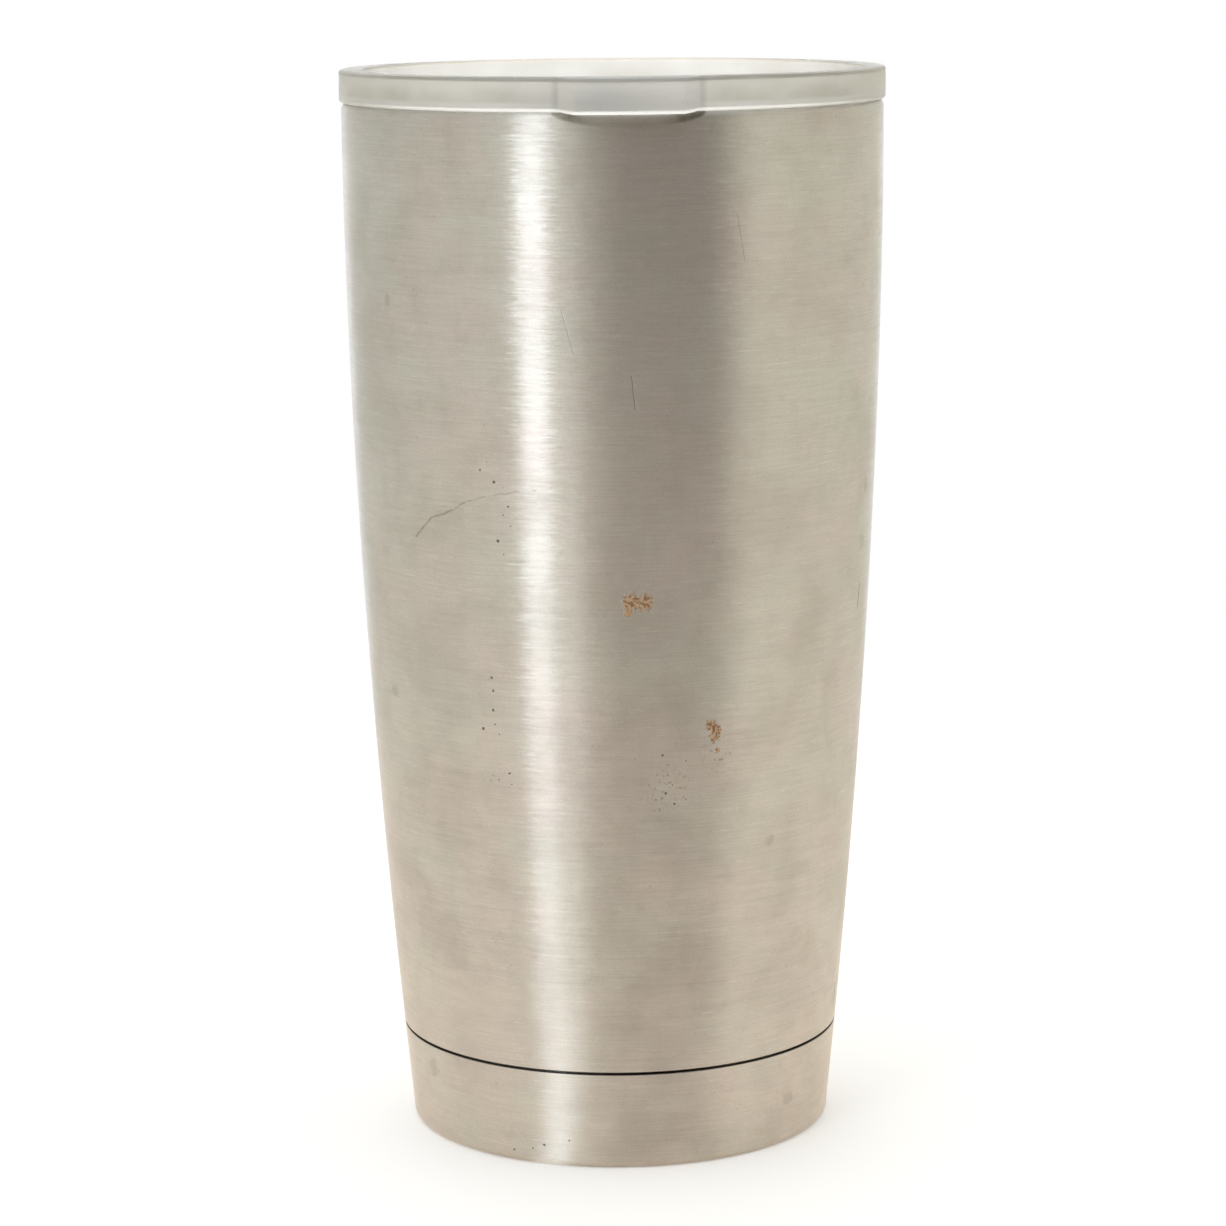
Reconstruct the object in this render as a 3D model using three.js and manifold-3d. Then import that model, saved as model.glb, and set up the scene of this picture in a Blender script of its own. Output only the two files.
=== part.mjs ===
// Double-walled steel tumbler with a press-in clear lid.
// Millimetres, +Z up. The origin is the centre of the base, on the table. The lid's thumb tab points to -Y
// and its drink opening lies towards +Y.
import * as THREE from "three";
import { mergeVertices } from "three/addons/utils/BufferGeometryUtils.js";
import Module from "manifold-3d";

// ---------------------------------------------------------------- driving dimensions
// Cup outside
const CUP_HEIGHT = 171.2; // table to the top of the steel lip
const LIP_RADIUS = 44.45; // outside of the shell below the lip
const BASE_RADIUS = 35.15; // outside of the body at the table, before its corner is rounded
const STRAIGHT_BAND = 6.2; // upright part of the shell, under the lip
const TAPER_POWER = 1.8; // how the taper gathers towards the base: 1 is a straight cone
const SEAM_HEIGHT = 16.4; // middle of the groove between shell and base cap
const SEAM_GAP = 0.4; // width of that groove
// Steel walls
const SHELL_WALL = 0.5;
const LINER_WALL = 0.5;
const CAP_WALL = 0.6;
const PLATE_WALL = 0.6;
const VACUUM_GAP = 3.4; // between shell and liner, over most of the height
// Lip and mouth
const LIP_THICKNESS = 1.95; // the rolled bead, across
const LIP_DEPTH = 1.8; // the rolled bead, from its top down
const MOUTH_DEPTH = 15.5; // straight bore under the lip that takes the lid's plug
const SHOULDER_HEIGHT = 7; // where the mouth narrows to the liner
// Base
const CAP_FLOOR = 0.8; // thickness of the base cap's floor
const CAP_CORNER = 2.5; // outer corner radius at the table
const FOOT_WIDTH = 4.8; // width of the flat ring that touches the table
const FOOT_RECESS = 1; // how far the middle of the underside is raised
const FOOT_SLOPE = 1.2; // width of the slope from the ring to the raised middle
const BOND_GAP = 0.9; // between cap and skirt, filled by the adhesive ring
const BOND_HEIGHT = 5;
const BOND_BASE = 8; // height of the adhesive ring's lower edge
const SKIRT_BASE = 4.6; // lower edge of the shell's skirt and of the plate's flange
const PLATE_FLANGE = 3; // height of the vacuum plate's turned-down edge
const PORT_RADIUS = 0.9; // evacuation hole in the vacuum plate
const DIMPLE_RADIUS = 5; // raised dimple round that hole
const DIMPLE_RISE = 1.2;
const DIMPLE_SLOPE = 1.6;
// Liner and reflector
const LINER_FLOOR_HEIGHT = 12.8; // underside of the liner
const LINER_CORNER = 8; // outer radius of the liner's bottom corner
const FOIL_WALL = 0.2;
const FOIL_MARGIN = 4; // foil stops this far from the corner and from the shoulder
const FOIL_SLIT = 1.2; // opening where the foil's ends come together
// Getter
const GETTER_RADIUS = 4.5;
const GETTER_HEIGHT = 1.8;
const GETTER_OFFSET = 16; // from the axis
const CLIP_WIDTH = 3;
const CLIP_WALL = 0.3;
const CLIP_FOOT = 2.6;
// Lid
const RING_OVERHANG = 0.3; // how far the lid's ring stands out past the shell
const RING_HEIGHT = 5.3;
const RING_TOP_ROUND = 1.1;
const RING_BOTTOM_ROUND = 1.2;
const RING_INNER_ROUND = 0.8;
const RING_WALL = 3.85; // ring, measured across its top
const RECESS_DEPTH = 7.2; // ring top down to the lid's floor
const RECESS_ROUND = 1.2; // fillet between recess wall and floor
const LID_FLOOR = 2; // thickness of the lid's floor
const PLUG_DEPTH = 12.5; // plug, below the ring
const PLUG_WALL = 2.4;
const PLUG_CLEARANCE = 0.5; // plug to mouth, all round
const PLUG_CHAMFER = 0.8;
const GROOVE_HEIGHT = 3.6;
const GROOVE_DEPTH = 1.3;
const GROOVE_BASE = 2.2; // groove's lower edge above the plug's end
// Thumb tab
const TAB_CHORD = 22.7;
const TAB_PROJECTION = 1.9;
const TAB_RAMP = 3.3; // length of each slanting end
const TAB_DROP = 0.4; // how far it hangs below the ring
const TAB_TOP_DROP = 0.25; // how far its top lies below the ring's top
const TAB_LIP_GAP = 0.3; // between its hanging edge and the steel
// Drink opening, slider and rails
const DRINK_LENGTH = 20;
const DRINK_WIDTH = 8;
const DRINK_EDGE = 3.6; // opening to recess wall
const VENT_RADIUS = 1.2;
const VENT_EDGE = 7; // vent centre to recess wall
const SLIDER_LENGTH = 26; // across the lid
const SLIDER_LAP = 3.4; // slider past the opening, on its inner side
const SLIDER_WALL = 1.7;
const SLIDER_TRAVEL = 12;
const SLIDER_LIFT = 0.9; // slider's underside above the lid's floor
const GRIP_LENGTH = 14;
const GRIP_WIDTH = 4.2;
const GRIP_HEIGHT = 1.8;
const RAIL_WALL = 1.3;
const RAIL_LAP = 1.5; // how far the rail's lip reaches over the slider
const RAIL_LIP = 1;
const STOP_LENGTH = 1.5;
const SEAL_LAP = 1.6; // silicone pad past the opening, all round
const SEAL_POCKET = 0.5; // how far the pad sits up inside the slider
// Clearances
const STATIC_GAP = 0.1; // between pieces fixed to each other
const JOIN_GAP = 0.3; // between pieces that slide, or lie loose round each other
const GASKET_GAP = 0.15; // gasket ribs to the mouth, and gasket to its groove

const SEGMENTS = 40; // facets round every turned piece, in phase so that their gaps stay even
const CURVE_STEPS = 6; // stretches along the tapered wall
const ROUND_STEPS = 3; // stretches along a fillet

// ---------------------------------------------------------------- heights and radii worked out from them
const taperTop = CUP_HEIGHT - STRAIGHT_BAND;
const seamTop = SEAM_HEIGHT + SEAM_GAP / 2;
const seamBottom = SEAM_HEIGHT - SEAM_GAP / 2;
const mouthRadius = LIP_RADIUS - LIP_THICKNESS;
const mouthBottom = CUP_HEIGHT - MOUTH_DEPTH;
const shoulderBottom = mouthBottom - SHOULDER_HEIGHT;
const plateTop = SKIRT_BASE + PLATE_FLANGE;
const ringBottom = CUP_HEIGHT + STATIC_GAP;
const ringTop = ringBottom + RING_HEIGHT;
const ringRadius = LIP_RADIUS + RING_OVERHANG;
const recessRadius = ringRadius - RING_WALL;
const lidFloorTop = ringTop - RECESS_DEPTH;
const plugRadius = mouthRadius - PLUG_CLEARANCE;
const plugBottom = ringBottom - PLUG_DEPTH;
const grooveBottom = plugBottom + GROOVE_BASE;
const grooveRadius = plugRadius - GROOVE_DEPTH;
const drinkCentre = recessRadius - DRINK_EDGE - DRINK_WIDTH / 2;
const sliderBottom = lidFloorTop + SLIDER_LIFT;
const sliderTop = sliderBottom + SLIDER_WALL;

// Outer radius of the body at height z: upright under the lip, then drawn in by a power curve.
function bodyRadius(z) {
  const down = Math.max(0, 1 - z / taperTop);
  return LIP_RADIUS - (LIP_RADIUS - BASE_RADIUS) * down ** TAPER_POWER;
}

// Outer radius of the liner: an even gap inside the shell, flared out to the mouth over the shoulder.
function linerRadius(z) {
  const inner = bodyRadius(z) - SHELL_WALL - VACUUM_GAP;
  const t = THREE.MathUtils.smoothstep(z, shoulderBottom, mouthBottom);
  return THREE.MathUtils.lerp(inner, mouthRadius + LINER_WALL, t);
}

// Outer radius of the shell's skirt, which stands inside the base cap.
const skirtRadius = (z) => bodyRadius(z) - CAP_WALL - BOND_GAP;

// ---------------------------------------------------------------- outline helpers
// A point of an outline is [radius, height].
function levels(from, to, steps) {
  return Array.from({ length: steps + 1 }, (_, i) => from + ((to - from) * i) / steps);
}

function wall(radiusAt, from, to, steps) {
  return levels(from, to, steps).map((z) => [radiusAt(z), z]);
}

function arc(r, z, radius, fromDeg, toDeg, steps = ROUND_STEPS) {
  return levels(fromDeg, toDeg, steps).map((deg) => {
    const a = THREE.MathUtils.degToRad(deg);
    return [r + radius * Math.cos(a), z + radius * Math.sin(a)];
  });
}

// Turns an outline about the Z axis. It runs up the outside and down the inside.
function turned(outline) {
  const points = outline.map(([r, z]) => new THREE.Vector2(r, z));
  return new THREE.LatheGeometry(points, SEGMENTS).rotateX(Math.PI / 2);
}

const closed = (outline) => [...outline, outline[0]];

// A flat outline raised from one height to another.
function raised(shape, from, to) {
  const options = { depth: to - from, bevelEnabled: false, curveSegments: 6 };
  return new THREE.ExtrudeGeometry(shape, options).translate(0, 0, from);
}

function block(x0, x1, y0, y1, z0, z1) {
  const centre = [(x0 + x1) / 2, (y0 + y1) / 2, (z0 + z1) / 2];
  return new THREE.BoxGeometry(x1 - x0, y1 - y0, z1 - z0).translate(...centre);
}

// A slot with round ends, centred on x = 0.
function slotShape(length, width, y) {
  const reach = (length - width) / 2;
  const shape = new THREE.Shape();
  shape.absarc(reach, y, width / 2, -Math.PI / 2, Math.PI / 2, false);
  shape.absarc(-reach, y, width / 2, Math.PI / 2, (3 * Math.PI) / 2, false);
  return shape;
}

// ---------------------------------------------------------------- joining and cutting
const wasm = await Module();
wasm.setup();

function solid(geometry) {
  const bare = geometry.clone();
  bare.deleteAttribute("normal");
  bare.deleteAttribute("uv");
  const merged = mergeVertices(bare, 1e-4);
  const vertProperties = merged.getAttribute("position").array;
  const triVerts = new Uint32Array(merged.index.array);
  return new wasm.Manifold(new wasm.Mesh({ numProp: 3, vertProperties, triVerts }));
}

function geometryOf(made) {
  const { vertProperties, triVerts } = made.getMesh();
  return new THREE.BufferGeometry()
    .setAttribute("position", new THREE.BufferAttribute(vertProperties, 3))
    .setIndex(new THREE.BufferAttribute(triVerts, 1));
}

// ---------------------------------------------------------------- finishes
function finish(color, roughness, metalness) {
  return new THREE.MeshStandardMaterial({ color, roughness, metalness });
}

const BRUSHED_STEEL = finish(0xb3ada0, 0.38, 1);
const PLAIN_STEEL = finish(0xa8a6a1, 0.45, 1);
const COPPER = finish(0xc07a4f, 0.35, 1);
const CLEAR_PLASTIC = finish(0xdcdedb, 0.12, 0);
CLEAR_PLASTIC.transparent = true;
CLEAR_PLASTIC.opacity = 0.45;
const SMOKE_PLASTIC = finish(0x8b8f91, 0.2, 0);
const SILICONE = finish(0xd9dad6, 0.6, 0);
const ADHESIVE = finish(0x4d4a46, 0.8, 0);
const SEALING_GLASS = finish(0x5c6b62, 0.25, 0);
const GETTER_METAL = finish(0x6e6c69, 0.7, 1);

const tumbler = new THREE.Group();

function place(name, geometry, material) {
  const mesh = new THREE.Mesh(geometry, material.clone());
  mesh.name = name;
  tumbler.add(mesh);
  return mesh;
}

// ---------------------------------------------------------------- cup
// Shell: brushed outer wall with a rolled lip on top and a narrower skirt inside the base cap.
function outerShell() {
  const lipRound = LIP_THICKNESS / 2;
  const lipMiddle = LIP_RADIUS - lipRound;
  const inside = (z) => bodyRadius(z) - SHELL_WALL;
  const skirtInside = (z) => skirtRadius(z) - SHELL_WALL;
  const stepTop = seamTop + SHELL_WALL;
  const beadBottom = CUP_HEIGHT - LIP_DEPTH;
  return turned(
    closed([
      ...wall(skirtRadius, SKIRT_BASE, seamTop, 1),
      ...wall(bodyRadius, seamTop, taperTop, CURVE_STEPS),
      ...arc(lipMiddle, CUP_HEIGHT - lipRound, lipRound, 0, 180, 2 * ROUND_STEPS),
      [mouthRadius, beadBottom],
      [inside(beadBottom), beadBottom],
      ...wall(inside, taperTop, stepTop, CURVE_STEPS),
      ...wall(skirtInside, stepTop, SKIRT_BASE, 1),
    ]),
  );
}

// Liner: the inner cup that holds the drink, flared at the top into the mouth.
function innerLiner() {
  const top = CUP_HEIGHT - LIP_DEPTH - STATIC_GAP;
  const cornerTop = LINER_FLOOR_HEIGHT + LINER_CORNER;
  const cornerMiddle = linerRadius(cornerTop) - LINER_CORNER;
  const inside = (z) => linerRadius(z) - LINER_WALL;
  return turned([
    [0, LINER_FLOOR_HEIGHT],
    ...arc(cornerMiddle, cornerTop, LINER_CORNER, -90, 0),
    ...wall(linerRadius, cornerTop, shoulderBottom, CURVE_STEPS).slice(1),
    ...wall(linerRadius, shoulderBottom, mouthBottom, 4).slice(1),
    [linerRadius(top), top],
    [inside(top), top],
    ...wall(inside, mouthBottom, shoulderBottom, 4),
    ...wall(inside, shoulderBottom, cornerTop, CURVE_STEPS).slice(1),
    ...arc(cornerMiddle, cornerTop, LINER_CORNER - LINER_WALL, 0, -90).slice(1),
    [0, LINER_FLOOR_HEIGHT + LINER_WALL],
  ]);
}

// Base cap: the pressed cover below the seam, with a flat foot ring and a raised middle.
function baseCap() {
  const outside = bodyRadius(CAP_CORNER);
  const cornerMiddle = outside - CAP_CORNER;
  const footInner = cornerMiddle - FOOT_WIDTH;
  const raisedFrom = footInner - FOOT_SLOPE;
  const inside = (z) => bodyRadius(z) - CAP_WALL;
  return turned([
    [0, FOOT_RECESS],
    [raisedFrom, FOOT_RECESS],
    [footInner, 0],
    ...arc(cornerMiddle, CAP_CORNER, CAP_CORNER, -90, 0),
    ...wall(bodyRadius, CAP_CORNER, seamBottom, 3).slice(1),
    ...wall(inside, seamBottom, CAP_CORNER, 3),
    ...arc(cornerMiddle, CAP_CORNER, CAP_CORNER - CAP_FLOOR, 0, -90),
    [footInner, CAP_FLOOR],
    [raisedFrom, FOOT_RECESS + CAP_FLOOR],
    [0, FOOT_RECESS + CAP_FLOOR],
  ]);
}

// Adhesive ring that holds the base cap on the skirt.
function baseBondRing() {
  const top = BOND_BASE + BOND_HEIGHT;
  const outside = (z) => bodyRadius(z) - CAP_WALL - STATIC_GAP;
  const inside = (z) => skirtRadius(z) + STATIC_GAP;
  return turned(closed([...wall(outside, BOND_BASE, top, 1), ...wall(inside, top, BOND_BASE, 1)]));
}

// Vacuum plate: closes the evacuated space, with the evacuation port in a raised dimple.
function vacuumPlate() {
  const outside = (z) => skirtRadius(z) - SHELL_WALL - STATIC_GAP;
  const inside = (z) => outside(z) - PLATE_WALL;
  const underside = plateTop - PLATE_WALL;
  const dimpleTop = DIMPLE_RADIUS - DIMPLE_SLOPE;
  return turned(
    closed([
      [PORT_RADIUS, underside + DIMPLE_RISE],
      [dimpleTop, underside + DIMPLE_RISE],
      [DIMPLE_RADIUS, underside],
      [inside(underside), underside],
      [inside(SKIRT_BASE), SKIRT_BASE],
      [outside(SKIRT_BASE), SKIRT_BASE],
      [outside(plateTop), plateTop],
      [DIMPLE_RADIUS, plateTop],
      [dimpleTop, plateTop + DIMPLE_RISE],
      [PORT_RADIUS, plateTop + DIMPLE_RISE],
    ]),
  );
}

// Glass bead that seals the evacuation port from below, filling the dimple.
function sealingBead() {
  const roof = plateTop - PLATE_WALL + DIMPLE_RISE - STATIC_GAP;
  const beadRadius = DIMPLE_RADIUS - DIMPLE_SLOPE - JOIN_GAP;
  const nubRadius = PORT_RADIUS - JOIN_GAP;
  const beadHeight = DIMPLE_RISE - STATIC_GAP;
  return turned([
    [0, roof - beadHeight],
    [beadRadius * 0.6, roof - beadHeight],
    [beadRadius, roof - beadHeight / 2],
    [beadRadius, roof],
    [nubRadius, roof],
    [nubRadius, roof + PLATE_WALL],
    [0, roof + PLATE_WALL],
  ]);
}

// Getter pellet: soaks up stray gas inside the vacuum.
function getterPellet() {
  const height = GETTER_HEIGHT;
  const pellet = new THREE.CylinderGeometry(GETTER_RADIUS, GETTER_RADIUS, height, 24).rotateX(Math.PI / 2);
  return pellet.translate(GETTER_OFFSET, 0, plateTop + STATIC_GAP + height / 2);
}

// Spring strap that holds the pellet on the vacuum plate.
function getterClip() {
  const base = plateTop + STATIC_GAP;
  const roof = base + GETTER_HEIGHT + STATIC_GAP;
  const legInside = GETTER_RADIUS + JOIN_GAP;
  const legOutside = legInside + CLIP_WALL;
  const footEnd = legOutside + CLIP_FOOT;
  const half = [
    [footEnd, base],
    [footEnd, base + CLIP_WALL],
    [legOutside, base + CLIP_WALL],
    [legOutside, roof + CLIP_WALL],
  ];
  const inner = [
    [legInside, roof],
    [legInside, base],
  ];
  const mirrored = (points) => points.map(([u, v]) => [-u, v]).reverse();
  const outline = [...half, ...mirrored(half), ...mirrored(inner), ...inner];
  const shape = new THREE.Shape(outline.map(([u, v]) => new THREE.Vector2(u, v)));
  const strap = new THREE.ExtrudeGeometry(shape, { depth: CLIP_WIDTH, bevelEnabled: false });
  // The strap's outline lies in the YZ plane, and its width along X.
  strap.translate(0, 0, -CLIP_WIDTH / 2).rotateX(Math.PI / 2).rotateZ(Math.PI / 2);
  return strap.translate(GETTER_OFFSET, 0, 0);
}

// Copper foil wrapped round the liner, open along one narrow slit.
function foilWrap() {
  const bottom = LINER_FLOOR_HEIGHT + LINER_CORNER + FOIL_MARGIN;
  const top = shoulderBottom - FOIL_MARGIN;
  const inside = (z) => linerRadius(z) + STATIC_GAP;
  const outside = (z) => inside(z) + FOIL_WALL;
  const tube = turned(
    closed([...wall(outside, bottom, top, CURVE_STEPS), ...wall(inside, top, bottom, CURVE_STEPS)]),
  );
  const slit = block(-FOIL_SLIT / 2, FOIL_SLIT / 2, 0, LIP_RADIUS, bottom - 1, top + 1);
  return geometryOf(solid(tube).subtract(solid(slit)));
}

// Copper foil disc under the liner.
function foilDisc() {
  const top = LINER_FLOOR_HEIGHT - STATIC_GAP;
  const cornerTop = LINER_FLOOR_HEIGHT + LINER_CORNER;
  const radius = linerRadius(cornerTop) - LINER_CORNER;
  return turned([
    [0, top - FOIL_WALL],
    [radius, top - FOIL_WALL],
    [radius, top],
    [0, top],
  ]);
}

// ---------------------------------------------------------------- lid
// The lid's turned body: ring on the lip, recessed floor, hollow plug with a gasket groove.
function lidTurning() {
  const plugInside = plugRadius - PLUG_WALL;
  const floorUnder = lidFloorTop - LID_FLOOR;
  const grooveTop = grooveBottom + GROOVE_HEIGHT;
  return turned([
    [0, floorUnder],
    [plugInside, floorUnder],
    [plugInside, plugBottom],
    [plugRadius - PLUG_CHAMFER, plugBottom],
    [plugRadius, plugBottom + PLUG_CHAMFER],
    [plugRadius, grooveBottom],
    [grooveRadius, grooveBottom],
    [grooveRadius, grooveTop],
    [plugRadius, grooveTop],
    [plugRadius, ringBottom],
    ...arc(ringRadius - RING_BOTTOM_ROUND, ringBottom + RING_BOTTOM_ROUND, RING_BOTTOM_ROUND, -90, 0),
    ...arc(ringRadius - RING_TOP_ROUND, ringTop - RING_TOP_ROUND, RING_TOP_ROUND, 0, 90),
    ...arc(recessRadius + RING_INNER_ROUND, ringTop - RING_INNER_ROUND, RING_INNER_ROUND, 90, 180),
    ...arc(recessRadius - RECESS_ROUND, lidFloorTop + RECESS_ROUND, RECESS_ROUND, 0, -90),
    [0, lidFloorTop],
  ]);
}

// Thumb tab: a shallow ledge proud of the ring, with slanting ends, for lifting the lid.
function thumbTab() {
  const half = TAB_CHORD / 2;
  const endAngle = Math.asin(half / ringRadius);
  const rampAngle = Math.asin((half - TAB_RAMP) / ringRadius);
  const polar = (radius, angle) => new THREE.Vector2(radius * Math.sin(angle), -radius * Math.cos(angle));
  const outer = levels(-rampAngle, rampAngle, 6).map((a) => polar(ringRadius + TAB_PROJECTION, a));
  const back = (radius) => levels(endAngle, -endAngle, 6).map((a) => polar(radius, a));
  const ends = [polar(ringRadius, endAngle), polar(ringRadius, -endAngle)];
  const outline = (radius) => new THREE.Shape([...outer, ends[0], ...back(radius), ends[1]]);
  const top = ringTop - TAB_TOP_DROP;
  // Above the lip the ledge runs into the ring. The edge that hangs lower stays clear of the steel.
  const upper = raised(outline(ringRadius - RING_BOTTOM_ROUND), ringBottom, top);
  const edge = raised(outline(LIP_RADIUS + TAB_LIP_GAP), ringBottom - TAB_DROP, top);
  return solid(upper).add(solid(edge));
}

// Rail with an overhanging lip on one side of the slider, closed by a stop at its inner end.
function sliderRail(side) {
  const inner = SLIDER_LENGTH / 2 + JOIN_GAP;
  const outer = inner + RAIL_WALL;
  const lipEdge = SLIDER_LENGTH / 2 - RAIL_LAP;
  const root = lidFloorTop - STATIC_GAP;
  const lipBottom = sliderTop + JOIN_GAP;
  const lipTop = lipBottom + RAIL_LIP;
  const back = sliderBack() - SLIDER_TRAVEL - JOIN_GAP;
  const front = Math.sqrt((recessRadius - RECESS_ROUND) ** 2 - outer ** 2);
  const across = (a, b) => (side < 0 ? [-b, -a] : [a, b]);
  const web = block(...across(inner, outer), back - STOP_LENGTH, front, root, lipTop);
  const lip = block(...across(lipEdge, outer), back - STOP_LENGTH, front, lipBottom, lipTop);
  const stop = block(...across(lipEdge, outer), back - STOP_LENGTH, back, root, lipTop);
  return solid(web).add(solid(lip)).add(solid(stop));
}

// Inner edge of the slider when it covers the opening.
function sliderBack() {
  return drinkCentre - DRINK_WIDTH / 2 - SLIDER_LAP;
}

function lidBody() {
  const below = lidFloorTop - LID_FLOOR - 1;
  const above = lidFloorTop + 1;
  const opening = raised(slotShape(DRINK_LENGTH, DRINK_WIDTH, drinkCentre), below, above);
  const vent = new THREE.CylinderGeometry(VENT_RADIUS, VENT_RADIUS, above - below, 16)
    .rotateX(Math.PI / 2)
    .translate(0, VENT_EDGE - recessRadius, (above + below) / 2);
  const body = solid(lidTurning()).add(thumbTab()).add(sliderRail(-1)).add(sliderRail(1));
  return geometryOf(body.subtract(solid(opening)).subtract(solid(vent)));
}

// Silicone gasket in the plug's groove, with two ribs that wipe the mouth.
function lidGasket() {
  const bottom = grooveBottom + GASKET_GAP;
  const height = GROOVE_HEIGHT - 2 * GASKET_GAP;
  const top = bottom + height;
  const inside = grooveRadius + GASKET_GAP;
  const rib = mouthRadius - GASKET_GAP;
  const body = plugRadius - JOIN_GAP;
  const ribAt = (share) => [
    [body, bottom + height * (share - 0.2)],
    [rib, bottom + height * share],
    [body, bottom + height * (share + 0.2)],
  ];
  return turned(
    closed([
      [inside, bottom],
      [body, bottom],
      ...ribAt(0.27),
      ...ribAt(0.73),
      [body, top],
      [inside, top],
    ]),
  );
}

// Drink slider, in its open place: a flat plate with a finger ridge and a pocket for its silicone pad.
function drinkSlider() {
  const half = SLIDER_LENGTH / 2;
  const edge = recessRadius - RECESS_ROUND - STATIC_GAP;
  const edgeAngle = Math.acos(half / edge);
  const plate = new THREE.Shape();
  plate.moveTo(-half, sliderBack());
  plate.lineTo(half, sliderBack());
  plate.absarc(0, 0, edge, edgeAngle, Math.PI - edgeAngle, false);
  const padLength = DRINK_LENGTH + 2 * (SEAL_LAP + STATIC_GAP);
  const padWidth = DRINK_WIDTH + 2 * (SEAL_LAP + STATIC_GAP);
  const pad = slotShape(padLength, padWidth, drinkCentre);
  const pocket = raised(pad, sliderBottom - 1, sliderBottom + SEAL_POCKET);
  const grip = slotShape(GRIP_LENGTH, GRIP_WIDTH, drinkCentre);
  const ridge = raised(grip, sliderTop - STATIC_GAP, sliderTop + GRIP_HEIGHT);
  const made = solid(raised(plate, sliderBottom, sliderTop)).subtract(solid(pocket)).add(solid(ridge));
  return geometryOf(made);
}

// Silicone pad under the slider, which closes the opening.
function sliderSeal() {
  const pad = slotShape(DRINK_LENGTH + 2 * SEAL_LAP, DRINK_WIDTH + 2 * SEAL_LAP, drinkCentre);
  return raised(pad, lidFloorTop + JOIN_GAP, sliderBottom + SEAL_POCKET - STATIC_GAP);
}

// ---------------------------------------------------------------- assembly
place("outer_shell", outerShell(), BRUSHED_STEEL);
place("inner_liner", innerLiner(), PLAIN_STEEL);
place("base_cap", baseCap(), BRUSHED_STEEL);
place("base_bond_ring", baseBondRing(), ADHESIVE);
place("vacuum_plate", vacuumPlate(), PLAIN_STEEL);
place("sealing_bead", sealingBead(), SEALING_GLASS);
place("getter_pellet", getterPellet(), GETTER_METAL);
place("getter_clip", getterClip(), PLAIN_STEEL);
place("foil_wrap", foilWrap(), COPPER);
place("foil_disc", foilDisc(), COPPER);
place("lid_body", lidBody(), CLEAR_PLASTIC);
place("lid_gasket", lidGasket(), SILICONE);
const open = -SLIDER_TRAVEL;
place("drink_slider", drinkSlider(), SMOKE_PLASTIC).position.y = open;
place("slider_seal", sliderSeal(), SILICONE).position.y = open;

export default tumbler;
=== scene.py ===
import functools
import math

import bmesh
import bpy
import numpy as np
from mathutils import Matrix, Vector


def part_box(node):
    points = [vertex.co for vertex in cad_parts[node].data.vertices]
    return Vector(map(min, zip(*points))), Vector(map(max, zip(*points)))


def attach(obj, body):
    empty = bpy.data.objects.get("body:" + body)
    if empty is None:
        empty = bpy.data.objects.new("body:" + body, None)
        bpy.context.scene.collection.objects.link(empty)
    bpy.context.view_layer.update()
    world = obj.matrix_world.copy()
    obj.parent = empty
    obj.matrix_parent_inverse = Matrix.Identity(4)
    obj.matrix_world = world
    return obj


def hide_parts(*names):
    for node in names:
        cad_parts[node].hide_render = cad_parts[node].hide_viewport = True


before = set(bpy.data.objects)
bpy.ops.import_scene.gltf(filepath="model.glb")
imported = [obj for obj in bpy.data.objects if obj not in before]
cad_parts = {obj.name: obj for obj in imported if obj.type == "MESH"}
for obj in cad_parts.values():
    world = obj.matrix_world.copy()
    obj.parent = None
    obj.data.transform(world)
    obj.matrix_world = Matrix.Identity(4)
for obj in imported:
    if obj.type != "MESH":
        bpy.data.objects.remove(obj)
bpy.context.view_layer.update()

MM = 0.001


def box_mm(node):
    """Lowest and highest corner of a node of the frame, in millimetres."""
    low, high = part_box(node)
    return np.array(low) / MM, np.array(high) / MM


# ---------------- sizes, in millimetres
shell_low, shell_high = box_mm("outer_shell")
cap_high = box_mm("base_cap")[1]
liner_low, liner_high = box_mm("inner_liner")
bond_low, bond_high = box_mm("base_bond_ring")
plate_high = box_mm("vacuum_plate")[1]
bead_low, bead_high = box_mm("sealing_bead")
pellet_low, pellet_high = box_mm("getter_pellet")
clip_low, clip_high = box_mm("getter_clip")
wrap_low, wrap_high = box_mm("foil_wrap")
disc_low, disc_high = box_mm("foil_disc")
lid_low, lid_high = box_mm("lid_body")
gasket_low, gasket_high = box_mm("lid_gasket")
slider_low, slider_high = box_mm("drink_slider")
pad_low, pad_high = box_mm("slider_seal")

# Cup
LIP_TOP = shell_high[2]
LIP_RADIUS = shell_high[0]
SKIRT_BASE = shell_low[2]
BASE_RADIUS = 35.15  # body at the table, before its corner is rounded
STRAIGHT_BAND = 6.2  # upright part under the lip
TAPER_POWER = 1.8
SEAM_GAP = 0.4
SEAM_BOTTOM = cap_high[2]
SEAM_TOP = SEAM_BOTTOM + SEAM_GAP
SEAM_EDGE = 0.14  # rounding of both edges of the groove
SHELL_WALL = 0.5
CAP_WALL = 0.6
CAP_FLOOR = 0.8
CAP_CORNER = 2.5
FOOT_WIDTH = 4.8
FOOT_RECESS = 1.0
FOOT_SLOPE = 1.2
BOND_GAP = 0.9
LIP_THICKNESS = 1.95
LIP_DEPTH = 1.8
MOUTH_RADIUS = LIP_RADIUS - LIP_THICKNESS
MOUTH_BOTTOM = LIP_TOP - 15.5
SHOULDER_BOTTOM = MOUTH_BOTTOM - 7.0
VACUUM_GAP = 3.4
LINER_WALL = 0.5
LINER_CORNER = 8.0
LINER_BASE = liner_low[2]
STATIC_GAP = 0.1
FOIL_SLIT = 1.2
FOIL_WALL = 0.2
PLATE_WALL = 0.6
PORT_RADIUS = 0.9
DIMPLE_RADIUS = 5.0
DIMPLE_SLOPE = 1.6
DIMPLE_RISE = 1.2
CLIP_WALL = 0.3

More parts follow.
